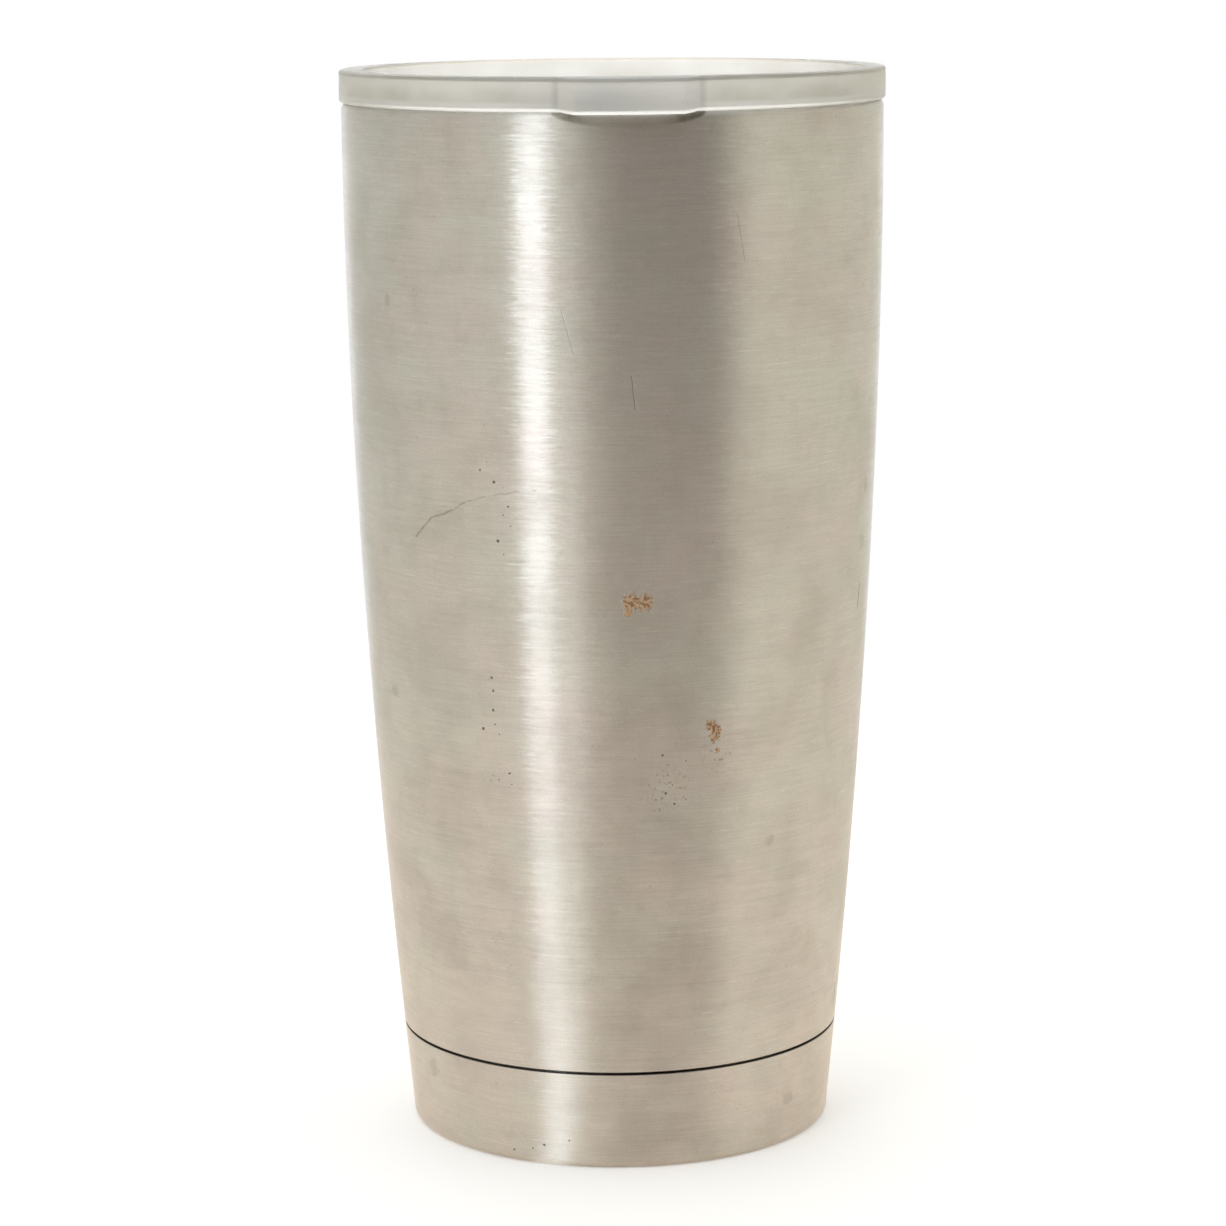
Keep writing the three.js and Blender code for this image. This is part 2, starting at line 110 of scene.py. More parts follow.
# Lid
RING_TOP = lid_high[2]
RING_RADIUS = lid_high[0]
RING_BOTTOM = LIP_TOP + STATIC_GAP
RING_WALL = 3.85
RING_TOP_ROUND = 0.7
RING_BOTTOM_ROUND = 1.2
RING_INNER_ROUND = 0.8
RECESS_RADIUS = RING_RADIUS - RING_WALL
RECESS_ROUND = 1.2
LID_FLOOR_TOP = RING_TOP - 7.2
LID_FLOOR_BASE = LID_FLOOR_TOP - 2.0
PLUG_RADIUS = MOUTH_RADIUS - 0.5
PLUG_INSIDE = PLUG_RADIUS - 2.4
PLUG_BOTTOM = lid_low[2]
PLUG_CHAMFER = 0.8
GROOVE_BOTTOM = PLUG_BOTTOM + 2.2
GROOVE_TOP = GROOVE_BOTTOM + 3.6
GROOVE_RADIUS = PLUG_RADIUS - 1.3
TAB_CHORD = 22.7
TAB_RAMP = 3.3
TAB_PROJECTION = -lid_low[1] - RING_RADIUS
TAB_END = math.degrees(math.asin(TAB_CHORD / 2 / RING_RADIUS))  # azimuth of the tab's ends
TAB_DROP = 0.4
TAB_TOP_DROP = 0.25
DRINK_LENGTH = 20.0
DRINK_WIDTH = 8.0
DRINK_CENTRE = RECESS_RADIUS - 3.6 - DRINK_WIDTH / 2
VENT_RADIUS = 1.2
VENT_CENTRE = 7.0 - RECESS_RADIUS
SLIDER_WALL = 1.7
SLIDER_TOP = slider_low[2] + SLIDER_WALL
SLIDER_HALF = slider_high[0]
SLIDER_CENTRE = (pad_low[1] + pad_high[1]) / 2
GRIP_LENGTH = 14.0
GRIP_WIDTH = 4.2
SEAL_LAP = 1.6
SEAL_POCKET = 0.5
SLIDER_EDGE = 0.45
RIDGE_FOOT = 0.7
RIDGE_CREST = 0.8
PAD_EDGE = 0.3
RAIL_WALL = 1.3
RAIL_LAP = 1.5
RAIL_LIP = 1.0
RAIL_GAP = 0.3
STOP_LENGTH = 1.5

AROUND = 320  # columns round a turned piece that shows
AROUND_LINER = 240  # columns round the liner
AROUND_INSIDE = 160  # columns round a turned piece that is closed in
WALL_STEP = 1.5  # rows along a wall that shows
HIDDEN_STEP = 3.0  # rows along a wall that doesn't
GUARD = 0.12  # rows this close to each sharp corner, so that shading stays crisp
SHARP_TURN = math.radians(4)
RIM_SWEEP = np.linspace(0, math.pi / 2, 6)  # angles along a rounded edge of a plate or pad


def body_radius(z):
    """Outer radius of the body: upright under the lip, drawn in below it by a power curve."""
    down = np.clip(1 - np.asarray(z, float) / (LIP_TOP - STRAIGHT_BAND), 0, None)
    return LIP_RADIUS - (LIP_RADIUS - BASE_RADIUS) * down**TAPER_POWER


def liner_radius(z):
    """Outer radius of the liner: an even gap inside the shell, flared to the mouth over the shoulder."""
    t = np.clip((np.asarray(z, float) - SHOULDER_BOTTOM) / (MOUTH_BOTTOM - SHOULDER_BOTTOM), 0, 1)
    t = t * t * (3 - 2 * t)
    inner = body_radius(z) - SHELL_WALL - VACUUM_GAP
    return inner + (MOUTH_RADIUS + LINER_WALL - inner) * t


def skirt_radius(z):
    """Outer radius of the shell's skirt inside the base cap."""
    return body_radius(z) - CAP_WALL - BOND_GAP


# ---------------- outlines, as (x, y) or (radius, height)
def wall(radius_at, start, end, step=WALL_STEP):
    """Points (radius_at(z), z) from one height to the other, each with no rounding."""
    z = np.linspace(start, end, max(2, math.ceil(abs(end - start) / step) + 1))
    return [(r, h, 0.0) for r, h in zip(radius_at(z), z)]


def rounded(corners, closed=False, steps=7):
    """Corners (x, y, rounding): each is replaced by an arc of that radius that touches both its sides."""
    corners = [np.array(c, float) for c in corners]
    count = len(corners)
    outline = []
    for i, (x, y, radius) in enumerate(corners):
        here = np.array([x, y])
        ends = not closed and i in (0, count - 1)
        if ends or radius <= 0:
            outline.append(here)
            continue
        before = corners[i - 1][:2] - here
        after = corners[(i + 1) % count][:2] - here
        reach = min(np.linalg.norm(before), np.linalg.norm(after)) * 0.49
        before /= np.linalg.norm(before)
        after /= np.linalg.norm(after)
        half = math.acos(np.clip(before @ after, -1, 1)) / 2
        length = min(radius / math.tan(half), reach)
        middle = before + after
        centre = here + middle / np.linalg.norm(middle) * length / math.cos(half)
        start = here + before * length - centre
        end = here + after * length - centre
        turn = math.atan2(start[0] * end[1] - start[1] * end[0], start @ end)
        angle = np.linspace(0, turn, steps)[:, None]
        side = np.array([-start[1], start[0]])
        outline.extend(centre + start * np.cos(angle) + side * np.sin(angle))
    return np.array(outline)


def guarded(outline, closed=False, step=WALL_STEP, guard=GUARD):
    """The same outline with more points on its long sides: one close to each sharp corner, and even steps."""
    following = np.roll(outline, -1, axis=0)
    sides = following - outline
    lengths = np.maximum(np.linalg.norm(sides, axis=1), 1e-9)
    ways = sides / lengths[:, None]
    sharp = (ways * np.roll(ways, 1, axis=0)).sum(axis=1) < math.cos(SHARP_TURN)
    count = len(outline) if closed else len(outline) - 1
    points = []
    for i in range(count):
        length = lengths[i]
        low = guard if sharp[i] and length > 4 * guard else 0.0
        high = guard if sharp[(i + 1) % len(outline)] and length > 4 * guard else 0.0
        steps = max(1, math.ceil((length - low - high) / step))
        shares = np.linspace(low / length, 1 - high / length, steps + 1)
        shares = [0.0, *shares] if low else list(shares)
        if not high:
            shares = shares[:-1]
        points.extend(outline[i] + sides[i] * s for s in shares)
    if not closed:
        points.append(outline[-1])
    return np.array(points)


def even_angles(count):
    """Angles from +X towards +Y, in the middles of equal steps round a circle that starts at -Y."""
    return np.linspace(-math.pi / 2, 3 * math.pi / 2, count, endpoint=False) + math.pi / count


def slot_outline(length, width, y, count=96):
    """A slot with round ends centred on (0, y), counter-clockwise: points at even angles of its ends."""
    angle = even_angles(count)
    reach = np.where(np.cos(angle) > 0, 1, -1) * (length - width) / 2
    return np.stack([reach + width / 2 * np.cos(angle), y + width / 2 * np.sin(angle)], axis=1)


# ---------------- meshes
def grid_faces(rows, columns, wrap_rows, wrap_columns):
    """Four-sided faces between the points of a grid, counted row by row."""
    i = np.arange(rows if wrap_rows else rows - 1)[:, None]
    j = np.arange(columns if wrap_columns else columns - 1)[None, :]
    up = (i + 1) % rows
    right = (j + 1) % columns
    corners = [i * columns + j, i * columns + right, up * columns + right, up * columns + j]
    return np.stack(np.broadcast_arrays(*corners), axis=-1).reshape(-1, 4)


def new_mesh(name, parts):
    """A smooth mesh from parts of (points in mm, faces), merged where points meet."""
    points = []
    faces = []
    start = 0
    for part_points, part_faces in parts:
        points.append(np.asarray(part_points, float).reshape(-1, 3))
        faces += [[start + int(k) for k in face] for face in part_faces]
        start += len(points[-1])
    mesh = bpy.data.meshes.new(name)
    mesh.from_pydata((np.concatenate(points) * MM).tolist(), [], faces)
    shape = bmesh.new()
    shape.from_mesh(mesh)
    bmesh.ops.remove_doubles(shape, verts=shape.verts, dist=1e-7)
    shape.to_mesh(mesh)
    shape.free()
    mesh.polygons.foreach_set("use_smooth", np.ones(len(mesh.polygons), bool))
    return mesh


def new_object(name, data):
    """An object at the origin that shows a mesh or holds a camera."""
    made = bpy.data.objects.new(name, data)
    bpy.context.scene.collection.objects.link(made)
    return made


def make_piece(name, parts, material, body, nodes=(), bevel=0.0):
    """One visible object that rides on a body of the frame and stands in for the nodes named."""
    mesh = new_mesh(name, parts)
    mesh.materials.append(material)
    piece = new_object(name, mesh)
    if bevel:
        edge = piece.modifiers.new("rounded_edges", "BEVEL")
        edge.width = bevel * MM
        edge.segments = 3
        edge.limit_method = "ANGLE"
        edge.harden_normals = True
    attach(piece, body)
    if nodes:
        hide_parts(*nodes)
    return piece


def turned(profile, closed=False, around=AROUND, angles=None, reshape=None):
    """A profile turned about the axis: at azimuth a, (r, z) goes to (r sin a, -r cos a, z).

    The profile runs up the outside. reshape(r, z, a) may move the points before they are turned.
    """
    if angles is None:
        angles = np.linspace(0, 2 * math.pi, around, endpoint=False)
    r, z = (column[:, None] + 0 * angles[None, :] for column in np.asarray(profile).T)
    if reshape:
        r, z = reshape(r, z, angles[None, :])
    points = np.stack([r * np.sin(angles), -r * np.cos(angles), z], axis=-1)
    return points, grid_faces(len(profile), len(angles), closed, True)


def stacked(rings):
    """Rings of equally many points joined one above the other, both ends closed by a middle point."""
    count = len(rings[0])
    first = np.repeat(rings[0].mean(axis=0)[None, :], count, axis=0)
    last = np.repeat(rings[-1].mean(axis=0)[None, :], count, axis=0)
    points = np.stack([first, *rings, last])
    return points, grid_faces(len(rings) + 2, count, False, True)


def level(outline, z, inset=0.0):
    """An outline at a height, moved inwards along its normals by inset."""
    along = np.roll(outline, -1, axis=0) - np.roll(outline, 1, axis=0)
    inward = np.stack([-along[:, 1], along[:, 0]], axis=1)
    inward /= np.linalg.norm(inward, axis=1, keepdims=True)
    flat = outline + inward * inset
    return np.column_stack([flat, np.full(len(flat), z)])


def rounded_rings(outline, low, high, edge):
    """Rings up an upright wall whose lower and upper edges are rounded: quarter circles of radius edge."""
    rise = edge * (1 - np.cos(RIM_SWEEP))
    inset = edge * (1 - np.sin(RIM_SWEEP))
    rings = [level(outline, low + up, inward) for up, inward in zip(rise, inset)]
    return rings + [level(outline, high - down, inward) for down, inward in zip(inset, rise)]


def drawn_out(section, start, end, to_space):
    """A flat closed section carried straight from start to end; to_space(u, v, w) places its points."""
    u, v = section.T
    points = np.stack([to_space(u, v, np.full(len(u), w)) for w in (start, end)])
    count = len(section)
    sides = grid_faces(2, count, False, True).tolist()
    return points, [*sides, list(range(count))[::-1], list(range(count, 2 * count))]


# ---------------- shader nodes
def operator(operation, swapped=False):
    """A method that joins a value of a shader with another by one operation."""
    if swapped:
        return lambda here, other: calc(operation, other, here)
    return lambda here, other: calc(operation, here, other)


class Value:
    """A number, vector or colour inside a shader tree; arithmetic on numbers adds Math nodes."""

    def __init__(self, tree, socket):
        self.tree = tree
        self.socket = socket

    __array_ufunc__ = None  # so that numpy's numbers leave the arithmetic to this class
    __add__ = operator("ADD")
    __sub__ = operator("SUBTRACT")
    __rsub__ = operator("SUBTRACT", swapped=True)
    __mul__ = operator("MULTIPLY")
    __truediv__ = operator("DIVIDE")

    def __abs__(self):
        return calc("ABSOLUTE", self)


def give(socket, value):
    """Links a value of the tree to a socket, or sets the socket to a plain value."""
    if isinstance(value, Value):
        value.tree.links.new(value.socket, socket)
    else:
        socket.default_value = value


def node(tree, kind, inputs=(), out=0, **settings):
    """Adds a node and gives one of its outputs, if it has any."""
    made = tree.nodes.new(kind)
    for key, value in settings.items():
        setattr(made, key, value)
    for key, value in dict(inputs).items():
        give(made.inputs[key], value)
    return Value(tree, made.outputs[out]) if made.outputs else None


def calc(operation, *values):
    """One Math node."""
    tree = next(value.tree for value in values if isinstance(value, Value))
    return node(tree, "ShaderNodeMath", enumerate(values), operation=operation)


def most(*values):
    """The largest of several values."""
    return functools.reduce(lambda a, b: calc("MAXIMUM", a, b), values)


def vector_calc(operation, a, b=(0, 0, 0), scale=1.0, out="Vector"):
    """One Vector Math node."""
    tree = a.tree if isinstance(a, Value) else b.tree
    return node(tree, "ShaderNodeVectorMath", {0: a, 1: b, 3: scale}, out, operation=operation)


def ramp(value, low, high, out_low=0.0, out_high=1.0):
    """A smooth step from out_low to out_high as value goes from low to high."""
    inputs = enumerate((value, low, high, out_low, out_high))
    return node(value.tree, "ShaderNodeMapRange", inputs, interpolation_type="SMOOTHSTEP")


def band(value, centre, half, soft):
    """1 within half of a centre value, falling to 0 across a soft edge."""
    return ramp(abs(value - centre), half - soft / 2, half + soft / 2, 1.0, 0.0)


def mixed(share, a, b):
    """Colour a turning into colour b."""
    return node(share.tree, "ShaderNodeMix", {0: share, 6: a, 7: b}, out=2, data_type="RGBA")


def layered(colour, layers):
    """A colour with others laid over it, each by its share."""
    for share, over in layers:
        colour = mixed(share, colour, over)
    return colour


def noise(place, scale, detail=2.0, roughness=0.5, distortion=0.0, out="Fac"):
    """Noise of about 0 to 1."""
    inputs = {"Vector": place, "Scale": scale, "Detail": detail}
    inputs |= {"Roughness": roughness, "Distortion": distortion}
    return node(place.tree, "ShaderNodeTexNoise", inputs, out)


def cells(place, scale, feature="F1"):
    """Distance to the nearest of scattered points."""
    return node(place.tree, "ShaderNodeTexVoronoi", {"Vector": place, "Scale": scale}, feature=feature)


def bump(height, distance, **normal):
    """A normal from a height that varies over the surface, distance in millimetres."""
    inputs = {"Height": height, "Distance": distance * MM, **normal}
    return node(height.tree, "ShaderNodeBump", inputs)


def turned_place(place):
    """Azimuth in degrees, distance from the axis and height of a place."""
    x, y, z = (node(place.tree, "ShaderNodeSeparateXYZ", {0: place}, out) for out in range(3))
    azimuth = calc("DEGREES", calc("ARCTAN2", x, y * -1.0))
    return azimuth, vector_calc("LENGTH", vector_calc("MULTIPLY", place, (1, 1, 0)), out="Value"), z


def new_material(name):
    """An empty material, its Principled shader, and the place on the piece in millimetres."""
    material = bpy.data.materials.new(name)
    material.use_nodes = True
    tree = material.node_tree
    place = node(tree, "ShaderNodeTexCoord", out="Object")
    return material, tree.nodes["Principled BSDF"], vector_calc("SCALE", place, scale=1 / MM)


def feed(shader, **sockets):
    """Sets or links the shader's sockets; an underscore stands for a space in a socket's name."""
    for key, value in sockets.items():
        give(shader.inputs[key.replace("_", " ")], value)


def new_group(name, **inputs):
    """A shader node group with a place and named numbers as its inputs, and the values of those."""
    group = bpy.data.node_groups.new(name, "ShaderNodeTree")
    for key, kind in {"Position": "Vector", **inputs}.items():
        group.interface.new_socket(key, in_out="INPUT", socket_type=f"NodeSocket{kind}")
    group.interface.new_socket("Result", in_out="OUTPUT", socket_type="NodeSocketFloat")
    given = group.nodes.new("NodeGroupInput").outputs
    return group, [Value(group, given[key]) for key in ("Position", *inputs)]


def finished(group, result):
    """The group with its result linked to its output."""
    node(group, "NodeGroupOutput", {0: result})
    return group


def brush_lines_group():
    """Fine lines round the axis: noise that changes slowly round it and quickly along it."""
    group, (place, fineness, length) = new_group("brush_lines", Fineness="Float", Length="Float")
    stretch = node(group, "ShaderNodeCombineXYZ", enumerate((length, length, fineness)))
    return finished(group, noise(vector_calc("MULTIPLY", place, stretch), 1.0, 3.0, 0.65))


def spot_group():
    """A ragged round mark: 1 inside its reach of a centre, 0 outside, its edge pushed about by noise."""
    kinds = {"Centre": "Vector", "Reach": "Float", "Ragged": "Float", "Grain": "Float"}
    group, (place, centre, reach, ragged, grain) = new_group("spot", **kinds)
    away = vector_calc("DISTANCE", place, centre, out="Value")
    push = (noise(place, grain, 3.0, 0.7) - 0.5) * ragged
    return finished(group, ramp(away / reach + push, 0.6, 1.0, 1.0, 0.0))


def stroke_group():
    """A thin straight mark: 1 within its width of the line between two points, 0 outside."""
    group, (place, start, end, width) = new_group("stroke", Start="Vector", End="Vector", Width="Float")
    along = vector_calc("SUBTRACT", end, start)
    from_start = vector_calc("SUBTRACT", place, start)
    passed = vector_calc("DOT_PRODUCT", from_start, along, out="Value")
    share = passed / vector_calc("DOT_PRODUCT", along, along, out="Value")
    nearest = vector_calc("SCALE", along, scale=calc("MINIMUM", most(share, 0.0), 1.0))
    away = vector_calc("DISTANCE", from_start, nearest, out="Value")
    return finished(group, ramp(away / width, 0.4, 1.0, 1.0, 0.0))


BRUSH_LINES = brush_lines_group()
SPOT = spot_group()
STROKE = stroke_group()


def placed(group, place, **inputs):
    """The result of a group at a place, with its other inputs set."""
    made = place.tree.nodes.new("ShaderNodeGroup")
    made.node_tree = group
    for key, value in {"Position": place, **inputs}.items():
        give(made.inputs[key], value)
    return Value(place.tree, made.outputs[0])


def brushed(place, fineness, length):
    """Brush lines round the axis, with lines and breaks per millimetre."""
    return placed(BRUSH_LINES, place, Fineness=fineness, Length=length)


def on_body(azimuth, height):
    """The point of the body's outside at an azimuth and a height, in millimetres."""
    a = math.radians(azimuth)
    r = body_radius(height)
    return (r * math.sin(a), -r * math.cos(a), height)


# ---------------- marks of use on the steel
# Each pit is azimuth, height and radius.
PITS = [
    (-32.7, 115.4, 0.20), (-29.5, 113.6, 0.32), (-26.4, 109.8, 0.22),
    (-27.6, 108.4, 0.15), (-25.9, 106.7, 0.15), (-29.0, 104.2, 0.34),
    (-27.8, 102.1, 0.13), (-31.9, 81.9, 0.28), (-31.6, 79.8, 0.28),
    (-31.8, 76.6, 0.30), (-31.6, 74.3, 0.20), (-34.6, 73.4, 0.34),
    (-30.6, 72.7, 0.14), (-28.4, 66.4, 0.26), (-28.0, 64.6, 0.16),
    (-31.2, 65.2, 0.14), (6.6, 69.9, 0.24), (7.9, 66.6, 0.14),
    (8.9, 64.9, 0.15), (7.4, 63.6, 0.26), (5.2, 62.6, 0.15),
    (9.4, 61.8, 0.24), (12.0, 68.8, 0.15), (-24.0, 3.4, 0.26),
    (-27.4, 2.6, 0.2), (-33.0, 1.9, 0.24), (-17.0, 4.6, 0.18),
]
# Each rust patch is azimuth, height and radius.
RUST = [
    (-0.2, 94.9, 1.75), (2.4, 94.7, 1.8), (-1.0, 93.2, 0.8),
    (17.7, 74.3, 1.1), (18.9, 73.4, 1.15), (18.5, 72.3, 0.95),
    (19.5, 70.2, 0.45),
]
# Each patch of freckles is azimuth, height and radius.
FRECKLES = [(19.6, 69.0, 3.6), (8.5, 64.0, 5.0), (-31.5, 66.0, 2.2)]
# Each stain is azimuth, height and radius.
STAINS = [
    (68.0, 109.0, 1.3), (67.0, 100.0, 1.6), (72.0, 21.5, 1.6),
    (-64.5, 76.7, 1.3), (34.5, 53.8, 1.2), (-62.0, 12.5, 1.8),
    (47.0, 8.0, 1.5), (-58.0, 141.0, 1.1),
]
# Each scratch is a run of azimuth and height, its width and its depth of colour.
SCRATCHES = [
    ([(0.1, 130.6), (0.8, 125.5)], 0.13, 0.75),
    ([(22.2, 155.3), (23.9, 148.0)], 0.10, 0.3),
    ([(-14.0, 141.0), (-11.5, 134.0)], 0.10, 0.25),
    ([(66.9, 93.0), (66.4, 89.0)], 0.22, 0.8),
    ([(72.9, 23.5), (73.6, 19.0)], 0.25, 0.8),
]
HAIRLINE = [
    ([(-51.5, 103.5), (-46.7, 106.8), (-42.3, 107.8), (-35.4, 110.4)], 0.26, 0.4),
    ([(-35.4, 110.4), (-28.1, 111.9), (-20.0, 112.6)], 0.22, 0.25),
]
# Painted shade under the thumb tab, where the tab's shadow falls on the steel: half its width in degrees, and
# its depth.
SHADE_CRESCENT_WIDTH = 15.8
SHADE_CRESCENT_DEPTH = 2.4


def strokes(place, runs):
    """The masks of the strokes along each run."""
    masks = []
    for points, width, depth in runs:
        for start, end in zip(points, points[1:]):
            stroke = placed(STROKE, place, Start=on_body(*start), End=on_body(*end), Width=width)
            masks.append(stroke * depth)
    return masks


def spots(place, marks, ragged, grain):
    """The masks of ragged round marks, their edges pushed about by noise with grains per millimetre."""
    fixed = {"Ragged": ragged, "Grain": grain}
    return [placed(SPOT, place, Centre=on_body(*spot), Reach=reach, **fixed) for *spot, reach in marks]


def combed_normal(place, lines, tilt):
    """The surface's normal turned a little about the axis, line by line, as brushing leaves it."""
    around = vector_calc("NORMALIZE", vector_calc("CROSS_PRODUCT", (0, 0, 1), place))
    sideways = vector_calc("SCALE", around, scale=(lines - 0.5) * tilt)
    normal = node(place.tree, "ShaderNodeNewGeometry", out="Normal")
    return vector_calc("NORMALIZE", vector_calc("ADD", normal, sideways))


def round_axis(place):
    """The direction round the axis, along which the steel is brushed."""
    return node(place.tree, "ShaderNodeTangent", direction_type="RADIAL", axis="Z")


def tab_shade_crescent(place):
    """Painted shade under the thumb tab, where its shadow falls on the steel: deepest below the tab's middle,
    strongest towards its ends.
    """
    azimuth, _, height_mm = turned_place(place)
    off = abs(azimuth) / SHADE_CRESCENT_WIDTH
    depth = calc("SQRT", most(1.0 - off * off, 0.0)) * SHADE_CRESCENT_DEPTH
    below = LIP_TOP - height_mm
    return ramp(depth - below, -0.1, 0.45) * ramp(off, 0.3, 0.75, 0.18, 0.8)


def tarnish(place, lines, glints, cloud, blotch):
    """Layers over bare steel: dull clouds and blotches, fine dark lines, grain and short bright lines."""
    return [
        (ramp(cloud, 0.42, 0.72, 0.0, 0.45), (0.60, 0.573, 0.522, 1)),
        (ramp(blotch, 0.52, 0.78, 0.0, 0.28), (0.52, 0.49, 0.43, 1)),
        (ramp(lines, 0.3, 0.7, 0.0, 0.30), (0.44, 0.425, 0.39, 1)),
        (ramp(noise(place, 3.0, 2.0, 0.6), 0.35, 0.7, 0.0, 0.22), (0.46, 0.44, 0.40, 1)),
        (ramp(glints, 0.60, 0.72, 0.0, 0.30), (0.86, 0.85, 0.83, 1)),
    ]


def stains_and_painted_shade(place, height_mm, blotch):
    """Layers of round stains, painted shade under the thumb tab and painted shade in the seam's groove."""
    stain = most(*spots(place, STAINS, 2.2, 0.7))
    from_seam = abs(height_mm - (SEAM_BOTTOM + SEAM_TOP) / 2)
    return [
        (stain * 0.26, (0.30, 0.28, 0.23, 1)),
        # painted shade: the thumb tab's shadow on the steel below it, a little patchy
        (tab_shade_crescent(place) * ramp(blotch, 0.35, 0.6, 1.0, 0.7), (0.17, 0.155, 0.115, 1)),
        # painted shade in the seam's groove
        (ramp(from_seam, SEAM_GAP * 0.55, SEAM_GAP * 0.8, 0.85, 0.0), (0.05, 0.038, 0.025, 1)),
    ]


def pits_and_scratches(place):
    """Mask of the pits, a few faint specks, the scratches and the wandering hairline."""
    speck = ramp(cells(place, 0.42), 0.03, 0.08, 1.0, 0.0)
    speck = speck * ramp(noise(place, 0.06, 2.0, 0.5), 0.5, 0.62) * 0.45
    wander = vector_calc("SUBTRACT", noise(place, 0.35, 3.0, out="Color"), (0.5, 0.5, 0.5))
    hairline = strokes(vector_calc("ADD", place, wander), HAIRLINE)
    return most(*spots(place, PITS, 1.5, 4.0), speck, *strokes(place, SCRATCHES), *hairline)


def rust(place):
    """Mask of the rust patches, how high their grains stand, and their colour."""
    grains = noise(place, 1.7, 3.0, 0.75)
    patch = most(*spots(place, RUST, 1.6, 1.6))
    colour = mixed(ramp(grains, 0.44, 0.62), (0.62, 0.385, 0.195, 1), (0.145, 0.055, 0.02, 1))
    return patch * ramp(grains, 0.40, 0.48, 0.3, 1.0), patch * grains, colour


def worn_brushed_steel():
    """Steel brushed round the body: stretched reflections, faint cloudy tarnish, pits, rust and scratches."""
    material, shader, place = new_material("worn_brushed_steel")
    fine = brushed(place, 5.0, 0.12)
    broad = brushed(place, 1.6, 0.05)
    short = brushed(place, 3.2, 0.3)
    cloud = noise(place, 0.09, 4.0, 0.6)
    blotch = noise(place, 0.35, 4.0, 0.65)
    height_mm = turned_place(place)[2]

    tint = ramp(noise(place, 0.06, 3.0, 0.6), 0.38, 0.62)
    clean = mixed(tint, (0.672, 0.672, 0.632, 1), (0.692, 0.652, 0.624, 1))
    dark = pits_and_scratches(place)
    freckled = most(*spots(place, FRECKLES, 1.5, 0.5))
    freckles = freckled * ramp(noise(place, 1.7, 2.0, 0.6), 0.6, 0.68, 0.0, 0.55)
    rusty, crust, rust_colour = rust(place)
    layers = [
        *tarnish(place, fine, short, cloud, blotch),
        *stains_and_painted_shade(place, height_mm, blotch),
        (dark * 0.8, (0.08, 0.065, 0.045, 1)),
        (freckles, (0.24, 0.165, 0.10, 1)),
        (rusty * 0.9, rust_colour),
    ]

    smear = ramp(cloud, 0.3, 0.7, -0.02, 0.035) + ramp(broad, 0.3, 0.7, -0.02, 0.02)
    worn_rim = ramp(height_mm, LIP_TOP - 11, LIP_TOP - 1, 0.0, 0.03)
    relief = fine * 0.5 - dark * 6.0 + crust * 14.0
    feed(
        shader,
        Base_Color=layered(clean, layers),
        Metallic=1.0 - rusty * 0.85,
        Roughness=smear + worn_rim + rusty * 0.3 + 0.37,
        Anisotropic=1.0,
        Anisotropic_Rotation=0.25,
        Tangent=round_axis(place),
        Normal=bump(relief, 0.004, Normal=combed_normal(place, short, 0.11)),
    )
    return material


def plain_steel(name, colour, roughness, anisotropic):
    """Steel as drawn or pressed, with faint rings round the axis and a cloudy sheen."""
    material, shader, place = new_material(name)
    rings = brushed(place, 4.0, 0.06)
    cloud = noise(place, 0.12, 3.0, 0.6)
    darker = tuple(c * 0.8 for c in colour[:3]) + (1,)
    feed(
        shader,
        Base_Color=mixed(ramp(cloud, 0.35, 0.7, 0.0, 0.6), colour, darker),
        Metallic=1.0,
        Roughness=ramp(rings, 0.3, 0.7, roughness - 0.05, roughness + 0.05),
        Anisotropic=anisotropic,
        Anisotropic_Rotation=0.25,
        Tangent=round_axis(place),
        Normal=bump(rings, 0.004),
    )
    return material


def copper_foil():
    """Thin copper, bright where flat and darker in its creases, where shade is painted into its colour."""
    material, shader, place = new_material("copper_foil")
    crease = noise(place, 0.25, 5.0, 0.7, 0.6)
    feed(
        shader,
        # painted shade: darker where the creases are
        Base_Color=mixed(ramp(crease, 0.35, 0.65), (0.72, 0.36, 0.21, 1), (0.50, 0.22, 0.12, 1)),
        Metallic=1.0,
        Roughness=ramp(crease, 0.3, 0.7, 0.22, 0.42),
        Normal=bump(crease, 0.15),
    )
    return material


def cured_adhesive():
    """Dark adhesive with a skin of fine bubbles."""
    material, shader, place = new_material("cured_adhesive")
    bubbles = cells(place, 1.3, "SMOOTH_F1")
    feed(
        shader,
        Base_Color=mixed(ramp(bubbles, 0.1, 0.6), (0.05, 0.047, 0.043, 1), (0.10, 0.094, 0.088, 1)),
        Roughness=ramp(bubbles, 0.1, 0.6, 0.75, 0.55),
        Normal=bump(bubbles, 0.08),
    )
    return material


def sealing_glass():
    """Dark green-grey fused glass with faint swirls."""
    material, shader, place = new_material("sealing_glass")
    swirl = noise(place, 0.6, 3.0, 0.6, 1.5)
    feed(
        shader,
        Base_Color=mixed(ramp(swirl, 0.35, 0.65), (0.09, 0.13, 0.11, 1), (0.17, 0.21, 0.18, 1)),
        Roughness=ramp(swirl, 0.3, 0.7, 0.12, 0.3),
        Normal=bump(swirl, 0.03),
    )
    return material


def getter_powder():
    """Pressed dark metal powder."""
    material, shader, place = new_material("getter_powder")
    grain = noise(place, 5.0, 3.0, 0.7)
    feed(
        shader,
        Base_Color=mixed(ramp(grain, 0.35, 0.65), (0.10, 0.095, 0.09, 1), (0.24, 0.235, 0.23, 1)),
        Metallic=0.7,
        Roughness=ramp(grain, 0.3, 0.7, 0.6, 0.85),
        Normal=bump(grain, 0.05),
    )
    return material


